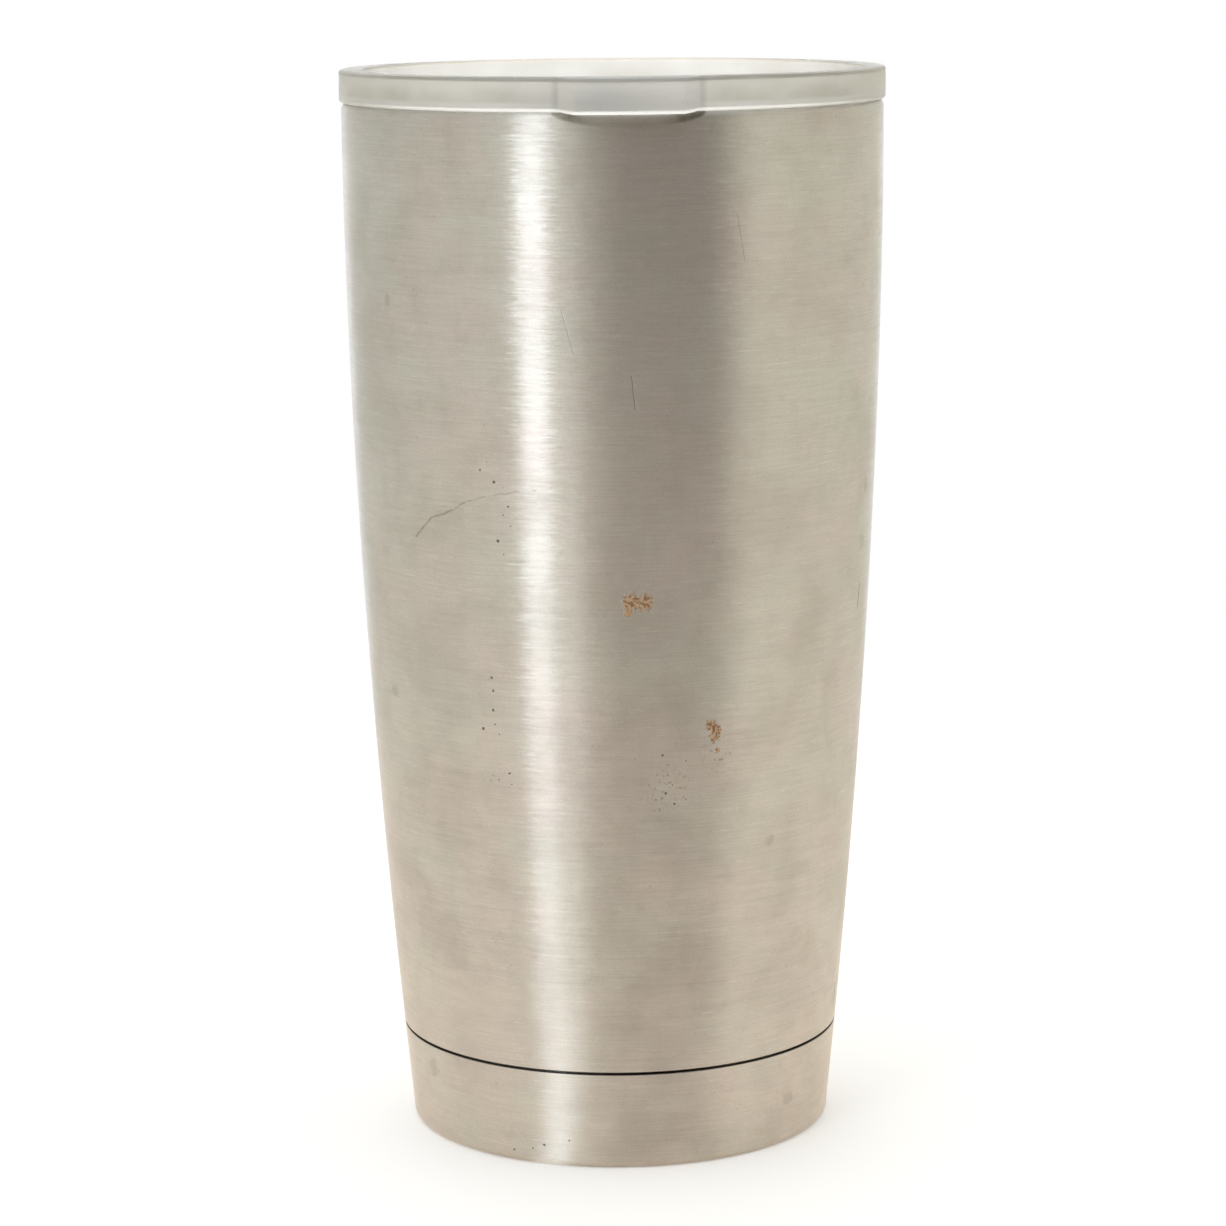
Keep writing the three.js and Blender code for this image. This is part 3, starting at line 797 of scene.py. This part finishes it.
def ring_painted_light(place):
    """Layers on the lid's ring: painted highlight on the tab and lower edge, patchy painted shade above,
    painted shade lines in the corners.
    """
    azimuth, radius, height_mm = turned_place(place)
    aside = abs(azimuth)
    above = height_mm - RING_BOTTOM
    on_ring = ramp(radius, RECESS_RADIUS - 0.2, RECESS_RADIUS + 0.2)
    outside = ramp(radius, RING_RADIUS - RING_TOP_ROUND, RING_RADIUS - 0.1)
    lit_tab_and_edge = most(ramp(aside, TAB_END - 1.5, TAB_END, 1.0, 0.0), ramp(above, 1.0, 1.5, 1.0, 0.0))
    shaded_belt = ramp(above, 1.1, 1.7) * ramp(above, 2.4, 4.6, 1.0, 0.0) * ramp(aside, TAB_END, TAB_END + 5)
    patchy_shade = ramp(noise(place, 0.09, 3.0, 0.55), 0.36, 0.66, 0.0, 0.6)
    shaded_top_line = ramp(abs(height_mm - (RING_TOP - 0.45)), 0.1, 0.4, 0.55, 0.0)
    shaded_end_line = ramp(abs(aside - TAB_END), 0.1, 1.3, 0.3, 0.0)
    return [
        # painted highlight on the tab and the ring's lower edge
        (on_ring * lit_tab_and_edge, (1.0, 0.995, 0.965, 1)),
        # patchy painted shade on the ring's outer band
        (outside * shaded_belt * patchy_shade, (0.60, 0.575, 0.49, 1)),
        # painted shade lines along the top edge and at the tab's ends
        (outside * most(shaded_top_line, shaded_end_line), (0.36, 0.35, 0.31, 1)),
    ]


def clear_lid_plastic():
    """Clear moulded plastic gone slightly milky, with faint scuffs, a few dirty specks and painted light and
    shade on its ring.
    """
    material, shader, place = new_material("clear_lid_plastic")
    haze = noise(place, 0.12, 4.0, 0.6)
    scuff = brushed(place, 1.4, 0.25)
    speck = ramp(cells(place, 0.55), 0.03, 0.07, 1.0, 0.0)
    speck = speck * ramp(noise(place, 0.2, 2.0, 0.5), 0.5, 0.6, 0.0, 0.7)
    tinted = mixed(ramp(haze, 0.3, 0.75), (0.94, 0.93, 0.885, 1), (0.85, 0.84, 0.78, 1))
    on_rim = ramp(turned_place(place)[2], LID_FLOOR_TOP + 0.6, LID_FLOOR_TOP + 1.2)
    clear = ramp(haze, 0.3, 0.75, 0.08, 0.16)
    worn = ramp(haze, 0.3, 0.75, 0.30, 0.38)
    feed(
        shader,
        # painted highlight and shade on the ring, then dark specks
        Base_Color=layered(tinted, [*ring_painted_light(place), (speck, (0.25, 0.22, 0.17, 1))]),
        Roughness=on_rim * (worn - clear) + clear + scuff * 0.05,
        Transmission_Weight=0.9,
        IOR=1.45,
        Normal=bump(scuff, 0.01),
    )
    return material


def slider_plastic():
    """Grey moulded plastic with a fine satin grain and rubbed patches."""
    material, shader, place = new_material("slider_plastic")
    rubbed = noise(place, 0.3, 3.0, 0.6)
    feed(
        shader,
        Base_Color=mixed(ramp(rubbed, 0.35, 0.7), (0.24, 0.25, 0.26, 1), (0.31, 0.32, 0.33, 1)),
        Roughness=ramp(rubbed, 0.3, 0.7, 0.28, 0.42),
        Normal=bump(noise(place, 6.0, 2.0, 0.6), 0.01),
    )
    return material


def milky_silicone():
    """Translucent milky silicone with a dusty bloom."""
    material, shader, place = new_material("milky_silicone")
    bloom = noise(place, 0.4, 3.0, 0.6)
    feed(
        shader,
        Base_Color=mixed(ramp(bloom, 0.35, 0.7), (0.78, 0.78, 0.75, 1), (0.68, 0.68, 0.64, 1)),
        Roughness=ramp(bloom, 0.3, 0.7, 0.42, 0.6),
        Subsurface_Weight=0.3,
        Subsurface_Radius=(1.0, 1.0, 0.9),
        Subsurface_Scale=1.5 * MM,
        Normal=bump(bloom, 0.02),
    )
    return material


# ---------------- cup
def outer_shell():
    """Outer wall, rolled lip and the skirt below the seam, as one closed profile turned about the axis."""
    lip_round = LIP_THICKNESS / 2
    lip_angle = np.linspace(0, math.pi, 25)
    lip_r = LIP_RADIUS - lip_round + lip_round * np.cos(lip_angle)
    lip_z = LIP_TOP - lip_round + lip_round * np.sin(lip_angle)
    taper_top = LIP_TOP - STRAIGHT_BAND
    step_top = SEAM_TOP + SHELL_WALL
    bead_bottom = LIP_TOP - LIP_DEPTH

    def inside(z):
        return body_radius(z) - SHELL_WALL

    def skirt_inside(z):
        return skirt_radius(z) - SHELL_WALL

    outline = rounded(
        [
            *wall(skirt_radius, SKIRT_BASE, SEAM_TOP),
            (body_radius(SEAM_TOP), SEAM_TOP, SEAM_EDGE),
            *wall(body_radius, SEAM_TOP + 0.4, taper_top),
            *wall(body_radius, taper_top + 0.5, LIP_TOP - lip_round - 0.3),
            *[(r, z, 0.0) for r, z in zip(lip_r, lip_z)],
            (MOUTH_RADIUS, bead_bottom, 0.2),
            (inside(bead_bottom), bead_bottom, 0.0),
            *wall(inside, taper_top, step_top, HIDDEN_STEP),
            *wall(skirt_inside, step_top, SKIRT_BASE, HIDDEN_STEP),
        ],
        closed=True,
    )
    return turned(guarded(outline, closed=True), closed=True)


def base_cap():
    """Base cap: flat foot ring, raised middle, rounded corner and upright wall up to the seam."""
    outside = body_radius(CAP_CORNER)
    foot_inner = outside - CAP_CORNER - FOOT_WIDTH
    raised_from = foot_inner - FOOT_SLOPE

    def inside(z):
        return body_radius(z) - CAP_WALL

    outline = rounded(
        [
            (0, FOOT_RECESS, 0),
            (raised_from, FOOT_RECESS, 1.5),
            (foot_inner, 0, 1.0),
            (outside - 0.12, 0, CAP_CORNER),
            *wall(body_radius, CAP_CORNER + 0.1, SEAM_BOTTOM - 0.4),
            (body_radius(SEAM_BOTTOM), SEAM_BOTTOM, SEAM_EDGE),
            (inside(SEAM_BOTTOM), SEAM_BOTTOM, 0.1),
            *wall(inside, SEAM_BOTTOM - 0.4, CAP_CORNER, HIDDEN_STEP),
            (outside - CAP_FLOOR, CAP_FLOOR, CAP_CORNER - CAP_FLOOR),
            (foot_inner, CAP_FLOOR, 1.0),
            (raised_from, FOOT_RECESS + CAP_FLOOR, 1.0),
            (0, FOOT_RECESS + CAP_FLOOR, 0),
        ],
        steps=12,
    )
    return turned(guarded(outline))


def inner_liner():
    """Liner: round-cornered inner cup, flared over a shoulder into the straight mouth."""
    top = liner_high[2]
    corner_top = LINER_BASE + LINER_CORNER
    corner_r = liner_radius(corner_top)

    def inside(z):
        return liner_radius(z) - LINER_WALL

    outline = rounded(
        [
            (0, LINER_BASE, 0),
            (corner_r, LINER_BASE, LINER_CORNER - 0.2),
            *wall(liner_radius, corner_top, SHOULDER_BOTTOM, HIDDEN_STEP),
            *wall(liner_radius, SHOULDER_BOTTOM + 0.5, MOUTH_BOTTOM, 0.5),
            (liner_radius(top), top, 0.1),
            (inside(top), top, 0.1),
            *wall(inside, MOUTH_BOTTOM, SHOULDER_BOTTOM + 0.5, 0.5),
            *wall(inside, SHOULDER_BOTTOM, corner_top, HIDDEN_STEP),
            (corner_r - LINER_WALL, LINER_BASE + LINER_WALL, LINER_CORNER - LINER_WALL - 0.2),
            (0, LINER_BASE + LINER_WALL, 0),
        ],
        steps=14,
    )
    return turned(guarded(outline, step=HIDDEN_STEP), around=AROUND_LINER)


def base_bond_ring():
    """Adhesive between cap and skirt, its upper and lower edges drawn in like a cured fillet."""
    low, high = bond_low[2], bond_high[2]
    outline = rounded(
        [
            (body_radius(low) - CAP_WALL - STATIC_GAP, low, 0.3),
            (body_radius(high) - CAP_WALL - STATIC_GAP, high, 0.3),
            (skirt_radius(high) + STATIC_GAP, high, 0.3),
            (skirt_radius(low) + STATIC_GAP, low, 0.3),
        ],
        closed=True,
    )
    return turned(outline, closed=True, around=AROUND_INSIDE)


def vacuum_plate():
    """Plate with a turned-down edge, and a raised dimple with the evacuation port in its middle."""
    peak = plate_high[2]
    top = peak - DIMPLE_RISE
    under = top - PLATE_WALL
    dimple_top = DIMPLE_RADIUS - DIMPLE_SLOPE

    def outside(z):
        return skirt_radius(z) - SHELL_WALL - STATIC_GAP

    outline = rounded(
        [
            (PORT_RADIUS, under + DIMPLE_RISE, 0.1),
            (dimple_top, under + DIMPLE_RISE, 0.5),
            (DIMPLE_RADIUS, under, 0.8),
            (outside(under) - PLATE_WALL, under, 0.6),
            (outside(SKIRT_BASE) - PLATE_WALL, SKIRT_BASE, 0.1),
            (outside(SKIRT_BASE), SKIRT_BASE, 0.1),
            (outside(top), top, 1.1),
            (DIMPLE_RADIUS, top, 0.5),
            (dimple_top, peak, 0.8),
            (PORT_RADIUS, peak, 0.1),
        ],
        closed=True,
    )
    return turned(guarded(outline, closed=True, step=HIDDEN_STEP), closed=True, around=AROUND_INSIDE)


def sealing_bead():
    """Bead of glass, domed below and with a nub up into the port."""
    radius = bead_high[0]
    nub = PORT_RADIUS - 0.3
    roof = bead_high[2] - PLATE_WALL
    sweep = np.linspace(-math.pi / 2, 0, 10)
    dome = [(radius * math.cos(a), roof - 0.3 + (roof - 0.3 - bead_low[2]) * math.sin(a), 0.0) for a in sweep]
    corners = [*dome, (radius, roof, 0.1), (nub, roof, 0.1), (nub, bead_high[2], 0.15), (0, bead_high[2], 0)]
    return turned(rounded(corners), around=64)


def getter_pellet():
    """Round pellet with softened edges."""
    centre = (pellet_low + pellet_high) / 2
    radius = (pellet_high[0] - pellet_low[0]) / 2
    low, high = pellet_low[2], pellet_high[2]
    corners = [(0, low, 0), (radius, low, 0.25), (radius, high, 0.25), (0, high, 0)]
    points, faces = turned(rounded(corners), around=64)
    return points + [centre[0], centre[1], 0], faces


def getter_clip():
    """Spring strap bent over the pellet: a bent section across, drawn out to the strap's width."""
    base, roof = clip_low[2], clip_high[2]
    foot = clip_high[1]
    leg = foot - 2.6
    half = [
        (foot, base, 0.0),
        (foot, base + CLIP_WALL, 0.0),
        (leg, base + CLIP_WALL, 0.3),
        (leg, roof, 0.5),
    ]
    inner = [(leg - CLIP_WALL, roof - CLIP_WALL, 0.2), (leg - CLIP_WALL, base, 0.1)]
    mirrored = [(-u, v, r) for u, v, r in half[::-1]]
    mirrored_inner = [(-u, v, r) for u, v, r in inner[::-1]]
    section = rounded([*half, *mirrored, *mirrored_inner, *inner], closed=True)
    return drawn_out(section, clip_low[0], clip_high[0], lambda u, v, w: np.stack([w, u, v], axis=1))


def foil_wrap():
    """Foil round the liner with an open slit at the back, gently creased in the gap it lies in."""
    low, high = wrap_low[2], wrap_high[2]

    def inside(z):
        return liner_radius(z) + STATIC_GAP

    def outside(z):
        return inside(z) + FOIL_WALL

    outline = np.array([(r, z) for r, z, _ in [*wall(outside, low, high), *wall(inside, high, low)]])
    half_slit = math.asin(FOIL_SLIT / 2 / inside(low))
    angles = np.linspace(math.pi + half_slit, 3 * math.pi - half_slit, 240)
    r, z = (column[:, None] + 0 * angles[None, :] for column in outline.T)
    crease = 0.05 * np.sin(23 * angles + 0.21 * z) * np.sin(11 * angles - 0.13 * z + 1.3)
    r = r + crease + 0.05
    points = np.stack([r * np.sin(angles), -r * np.cos(angles), z], axis=-1)
    rows, columns = r.shape
    sides = grid_faces(rows, columns, True, False).tolist()
    first = [i * columns for i in range(rows)]
    last = [i * columns + columns - 1 for i in range(rows)][::-1]
    return points, [*sides, first, last]


def foil_disc():
    """Foil disc under the liner, rippled a little and thin at its edge."""
    low, high = disc_low[2], disc_high[2]
    radius = disc_high[0]
    corners = [(0, low, 0), (radius, low, 0.05), (radius, high, 0.05), (0, high, 0)]

    def rippled(r, z, a):
        return r, z - 0.05 * (r / radius) ** 2 * (1 + np.sin(9 * a + 0.3 * r))

    return turned(guarded(rounded(corners, steps=4), step=1.0), around=AROUND_INSIDE, reshape=rippled)


# ---------------- lid
TAB_ROOT = RING_RADIUS - 1.3  # the ring is drawn out into the tab from this radius


def tab_share(azimuth):
    """How far the tab stands out at an azimuth in radians, from 0 to 1: slanting ends with soft corners."""
    off = np.abs((azimuth + math.pi) % (2 * math.pi) - math.pi)
    outer = math.asin(TAB_CHORD / 2 / RING_RADIUS)
    inner = math.asin((TAB_CHORD / 2 - TAB_RAMP) / RING_RADIUS)
    share = np.clip((outer - off) / (outer - inner), 0, 1)
    return 0.6 * share + 0.4 * share * share * (3 - 2 * share)


def with_tab(r, z, a):
    """Moves the ring's outer side out for the tab, hangs its lower edge and lowers its top a little."""
    tab = tab_share(a)
    side = (z > RING_BOTTOM - 0.05) * np.clip((r - TAB_ROOT) / 0.1, 0, 1)
    moved = r + TAB_PROJECTION * tab * side
    middle = (RING_TOP + RING_BOTTOM) / 2
    past_lip = np.clip((moved - LIP_RADIUS - 0.2) / 0.3, 0, 1)
    low = np.clip((middle - z) / (middle - RING_BOTTOM), 0, 1)
    high = np.clip((z - middle) / (RING_TOP - middle), 0, 1)
    drop = TAB_DROP * low * past_lip * side + TAB_TOP_DROP * high * side
    return moved, z - tab * drop


def lid_turning():
    """Lid: ring, recessed floor and hollow plug as one profile, with the tab drawn out of the ring."""
    root = [(TAB_ROOT + share * 0.1, share) for share in np.linspace(0, 1, 7)]
    outline = rounded(
        [
            (0, LID_FLOOR_BASE, 0),
            (PLUG_INSIDE, LID_FLOOR_BASE, 1.2),
            (PLUG_INSIDE, PLUG_BOTTOM, 0.5),
            (PLUG_RADIUS, PLUG_BOTTOM, PLUG_CHAMFER),
            (PLUG_RADIUS, GROOVE_BOTTOM, 0.15),
            (GROOVE_RADIUS, GROOVE_BOTTOM, 0.15),
            (GROOVE_RADIUS, GROOVE_TOP, 0.15),
            (PLUG_RADIUS, GROOVE_TOP, 0.15),
            (PLUG_RADIUS, RING_BOTTOM, 0.25),
            *[(r, RING_BOTTOM, 0.0) for r, _ in root],
            (RING_RADIUS, RING_BOTTOM, RING_BOTTOM_ROUND),
            (RING_RADIUS, RING_TOP, RING_TOP_ROUND),
            *[(r, RING_TOP, 0.0) for r, _ in root[::-1]],
            (RECESS_RADIUS, RING_TOP, RING_INNER_ROUND),
            (RECESS_RADIUS, LID_FLOOR_TOP, RECESS_ROUND),
            (0, LID_FLOOR_TOP, 0),
        ],
        steps=10,
    )
    near_tab = math.radians(18)
    fine = np.linspace(-near_tab, near_tab, 120, endpoint=False)
    coarse = np.linspace(near_tab, 2 * math.pi - near_tab, 280, endpoint=False)
    return turned(guarded(outline), angles=np.concatenate([fine, coarse]), reshape=with_tab)


def hole_cutter(outline, rounding=0.6):
    """A plug that cuts a hole through the lid's floor, flared at both ends so that the rims are round."""
    sweep = np.linspace(0, math.pi / 2, 7)
    flare = rounding * (1 - np.sin(sweep))
    rise = rounding * (1 - np.cos(sweep))
    low = LID_FLOOR_BASE - 0.01
    high = LID_FLOOR_TOP + 0.01
    rings = [level(outline, low - 1, -rounding)]
    rings += [level(outline, low + z, -f) for f, z in zip(flare, rise)]
    rings += [level(outline, high - z, -f) for f, z in zip(flare[::-1], rise[::-1])]
    rings += [level(outline, high + 1, -rounding)]
    return stacked(rings)


def cut(piece, cutters):
    """Cuts the cutters out of the piece and removes them."""
    tools = [new_object("cutter", new_mesh("cutter", [part])) for part in cutters]
    for tool in tools:
        step = piece.modifiers.new("hole", "BOOLEAN")
        step.operation = "DIFFERENCE"
        step.solver = "EXACT"
        step.object = tool
    graph = bpy.context.evaluated_depsgraph_get()
    result = bpy.data.meshes.new_from_object(piece.evaluated_get(graph))
    piece.modifiers.clear()
    before = piece.data
    piece.data = result
    bpy.data.meshes.remove(before)
    for tool in tools:
        mesh = tool.data
        bpy.data.objects.remove(tool)
        bpy.data.meshes.remove(mesh)
    piece.data.polygons.foreach_set("use_smooth", np.ones(len(piece.data.polygons), bool))


def vent_outline():
    """Round outline of the vent hole."""
    a = np.linspace(0, 2 * math.pi, 40, endpoint=False)
    return np.stack([VENT_RADIUS * np.cos(a), VENT_CENTRE + VENT_RADIUS * np.sin(a)], axis=1)


def slider_rails():
    """Two rails with overhanging lips, each closed by a stop: L-shaped sections drawn out along Y."""
    inner = SLIDER_HALF + RAIL_GAP
    outer = inner + RAIL_WALL
    edge = SLIDER_HALF - RAIL_LAP
    root = LID_FLOOR_TOP - 0.05
    lip_bottom = SLIDER_TOP + RAIL_GAP
    lip_top = lip_bottom + RAIL_LIP
    back = slider_low[1] - RAIL_GAP
    front = math.sqrt((RECESS_RADIUS - RECESS_ROUND) ** 2 - outer**2)
    shape = [(inner, root, 0), (outer, root, 0), (outer, lip_top, 0.35), (edge, lip_top, 0.3)]
    shape += [(edge, lip_bottom, 0.2), (inner, lip_bottom, 0.1)]
    stop = [(edge, root, 0), (outer, root, 0), (outer, lip_top, 0.35), (edge, lip_top, 0.3)]
    parts = []
    for side in (1, -1):
        for corners, start, end in ((shape, back, front), (stop, back - STOP_LENGTH, back + 0.02)):
            placed_corners = [(side * x, z, r) for x, z, r in corners][::side]
            section = rounded(placed_corners, closed=True)
            parts.append(drawn_out(section, start, end, lambda u, v, w: np.stack([u, w, v], axis=1)))
    return [(points, [face[::-1] for face in faces]) for points, faces in parts]


def plate_outline(count):
    """The slider's outline: round in front, straight behind, as points at even angles about its middle."""
    edge = RECESS_RADIUS - RECESS_ROUND - STATIC_GAP
    back = slider_low[1] - SLIDER_CENTRE
    angle = even_angles(count)
    x, y = np.cos(angle), np.sin(angle)
    across = DRINK_CENTRE * y
    to_arc = -across + np.sqrt(across**2 + edge**2 - DRINK_CENTRE**2)
    to_side = SLIDER_HALF / np.maximum(np.abs(x), 1e-9)
    to_back = np.where(y < 0, back / np.minimum(y, -1e-9), 1e9)
    limits = np.stack([to_arc, to_side, to_back])
    reach = (limits**-12.0).sum(axis=0) ** (-1 / 12)
    reach = np.minimum(reach * 1.01, limits.min(axis=0))
    return np.stack([reach * x, SLIDER_CENTRE + reach * y], axis=1)


def drink_slider():
    """Slider: pocket below, rounded plate edge, and a finger ridge on top, as one stack of rings."""
    count = 192
    plate = plate_outline(count)
    pocket_gap = SEAL_LAP + STATIC_GAP
    pocket = slot_outline(DRINK_LENGTH + 2 * pocket_gap, DRINK_WIDTH + 2 * pocket_gap, SLIDER_CENTRE, count)
    ridge = slot_outline(GRIP_LENGTH, GRIP_WIDTH, SLIDER_CENTRE, count)
    low, top, high = slider_low[2], SLIDER_TOP, slider_high[2]
    roof = low + SEAL_POCKET
    rings = [level(pocket, roof, 0.3), level(pocket, roof), level(pocket, low)]
    rings += rounded_rings(plate, low, top, SLIDER_EDGE)
    rise = 1 - np.cos(RIM_SWEEP)
    left = 1 - np.sin(RIM_SWEEP)
    rings += [level(ridge, top + RIDGE_FOOT * up, -RIDGE_FOOT * out) for up, out in zip(rise, left)]
    rings += [level(ridge, high - RIDGE_CREST * down, RIDGE_CREST * off) for down, off in zip(left, rise)]
    return stacked(rings)


def slider_seal():
    """Silicone pad with rounded edges."""
    outline = slot_outline(pad_high[0] - pad_low[0], pad_high[1] - pad_low[1], SLIDER_CENTRE, 128)
    return stacked(rounded_rings(outline, pad_low[2], pad_high[2], PAD_EDGE))


def lid_gasket():
    """Gasket: a ring with two soft ribs on its outer side."""
    low, high = gasket_low[2], gasket_high[2]
    inside = GROOVE_RADIUS + 0.15
    body = PLUG_RADIUS - 0.3
    rib = gasket_high[0]
    height = high - low
    corners = [(inside, low, 0.2), (body, low, 0.3)]
    for share in (0.27, 0.73):
        middle = low + share * height
        half = 0.2 * height
        corners += [(body, middle - half, 0.3), (rib, middle, 0.5), (body, middle + half, 0.3)]
    corners += [(body, high, 0.3), (inside, high, 0.2)]
    return turned(rounded(corners, closed=True), closed=True)


# ---------------- the pieces
STEEL = worn_brushed_steel()
LINER_STEEL = plain_steel("liner_steel", (0.60, 0.58, 0.54, 1), 0.36, 0.6)
PRESSED_STEEL = plain_steel("pressed_steel", (0.55, 0.54, 0.51, 1), 0.38, 0.0)
COPPER = copper_foil()
CLEAR = clear_lid_plastic()
SILICONE = milky_silicone()

make_piece("steel_shell", [outer_shell()], STEEL, "cup", ["outer_shell"])
make_piece("steel_base_cap", [base_cap()], STEEL, "cup", ["base_cap"])
make_piece("steel_liner", [inner_liner()], LINER_STEEL, "cup", ["inner_liner"])
make_piece("adhesive_ring", [base_bond_ring()], cured_adhesive(), "cup", ["base_bond_ring"])
make_piece("pressed_plate", [vacuum_plate()], PRESSED_STEEL, "cup", ["vacuum_plate"])
make_piece("glass_bead", [sealing_bead()], sealing_glass(), "cup", ["sealing_bead"])
make_piece("powder_pellet", [getter_pellet()], getter_powder(), "cup", ["getter_pellet"])
make_piece("spring_clip", [getter_clip()], PRESSED_STEEL, "cup", ["getter_clip"])
make_piece("copper_wrap", [foil_wrap()], COPPER, "cup", ["foil_wrap"])
make_piece("copper_disc", [foil_disc()], COPPER, "cup", ["foil_disc"])

lid = make_piece("clear_lid", [lid_turning()], CLEAR, "lid", ["lid_body"])
drink_cutter = hole_cutter(slot_outline(DRINK_LENGTH, DRINK_WIDTH, DRINK_CENTRE))
cut(lid, [drink_cutter, hole_cutter(vent_outline(), 0.3)])
make_piece("clear_rails", slider_rails(), CLEAR, "lid", bevel=0.25)
make_piece("ribbed_gasket", [lid_gasket()], SILICONE, "lid", ["lid_gasket"])
make_piece("grey_slider", [drink_slider()], slider_plastic(), "slider", ["drink_slider"])
make_piece("slider_pad", [slider_seal()], SILICONE, "slider", ["slider_seal"])

# ---------------- floor, light and camera
VIEW_TURN = -3.3  # degrees that the camera stands round from straight in front of the tab
VIEW_PITCH = 10.13  # degrees that it looks down
VIEW_ROLL = -0.486  # degrees that it leans
VIEW_PLACE = Vector((-0.6, -631.1, 198.4))  # its place before it is turned round
VIEW_LENS = 112.0
STRIP_AZIMUTH = -38.5  # middle of the tall bright strip of light
POOL_AZIMUTH = -23.0  # middle of the bright band of light painted on the floor, a glow seen only in reflections
FLOOR_RADIUS = 500.0
FLOOR_DROP = 0.05  # a hair below the foot, so that the two never lie in one plane


def pale_floor():
    """A pale round floor whose rim fades out; in reflections only, it glows with a painted bright pool and a
    warm painted spill near the tumbler.
    """
    rings = np.linspace(0, FLOOR_RADIUS, 24)[:, None]
    angle = np.linspace(0, 2 * math.pi, 96, endpoint=False)[None, :]
    flat = np.full((24, 96), -FLOOR_DROP)
    points = np.stack([rings * np.cos(angle), rings * np.sin(angle), flat], axis=-1)
    mesh = new_mesh("pale_floor", [(points, grid_faces(24, 96, False, True)[:, ::-1])])
    material, shader, place = new_material("pale_floor_paper")
    mesh.materials.append(material)
    azimuth, away, _ = turned_place(place)
    # painted light, glowing only in reflections: a warm spill near the tumbler and a bright pool off to one
    # side
    near = ramp(away, BASE_RADIUS + 10, 240.0, 1.0, 0.0)
    spill = mixed(near, (0.06, 0.055, 0.05, 1), (0.24, 0.205, 0.175, 1))
    pool = mixed(band(azimuth, POOL_AZIMUTH, 5.0, 8.0), spill, (0.55, 0.55, 0.56, 1))
    seen = node(place.tree, "ShaderNodeLightPath", out="Is Camera Ray")
    feed(
        shader,
        Base_Color=mixed(seen, (0.96, 0.85, 0.725, 1), (0.96, 0.96, 0.957, 1)),
        Emission_Color=mixed(seen, pool, (0.16, 0.16, 0.16, 1)),
        Emission_Strength=1.0,
        Roughness=0.8,
        Specular_IOR_Level=0.2,
        Alpha=ramp(away, FLOOR_RADIUS * 0.6, FLOOR_RADIUS * 0.98, 1.0, 0.0),
    )
    new_object("pale_floor", mesh)


def grey(value):
    """A grey of that brightness."""
    return (value, value, value, 1)


def studio_light():
    """Soft surroundings: an even grey room with a bright tall strip on one side and a dark zone in front."""
    world = bpy.data.worlds.new("studio")
    bpy.context.scene.world = world
    world.use_nodes = True
    tree = world.node_tree
    tree.nodes.clear()
    azimuth, _, rise = turned_place(node(tree, "ShaderNodeTexCoord", out="Generated"))
    height = calc("DEGREES", calc("ARCSINE", rise))
    room = mixed(ramp(azimuth, -60.0, 80.0), (0.77, 0.76, 0.69, 1), (0.83, 0.79, 0.68, 1))
    dark = ramp(azimuth, -38.0, 4.0) * ramp(azimuth, 36.0, 62.0, 1.0, 0.0)
    layers = [
        (dark, (0.045, 0.042, 0.04, 1)),
        (ramp(abs(azimuth), 147.0, 170.0), grey(1.2)),
        (band(azimuth, STRIP_AZIMUTH, 6.5, 2.0), (2.55, 2.62, 2.75, 1)),
        (ramp(height, 35.0, 65.0), grey(1.5)),
        (node(tree, "ShaderNodeLightPath", out="Is Camera Ray"), grey(1.0)),
    ]
    light = node(tree, "ShaderNodeBackground", {"Color": layered(room, layers), "Strength": 1.0})
    node(tree, "ShaderNodeOutputWorld", {"Surface": light})


def camera():
    """A long lens a little above the lid, looking down at the middle of the tumbler."""
    data = bpy.data.cameras.new("camera")
    data.sensor_width = 36.0
    data.lens = VIEW_LENS
    data.clip_start = 0.01
    data.clip_end = 20.0
    made = new_object("camera", data)
    turn = Matrix.Rotation(math.radians(VIEW_TURN), 4, "Z")
    tilt = Matrix.Rotation(math.radians(90 - VIEW_PITCH), 4, "X")
    roll = Matrix.Rotation(math.radians(VIEW_ROLL), 4, "Z")
    place = turn @ VIEW_PLACE * MM
    made.matrix_world = Matrix.Translation(place) @ turn @ tilt @ roll
    bpy.context.scene.camera = made


pale_floor()
studio_light()
camera()
bpy.context.scene.view_settings.view_transform = "Standard"
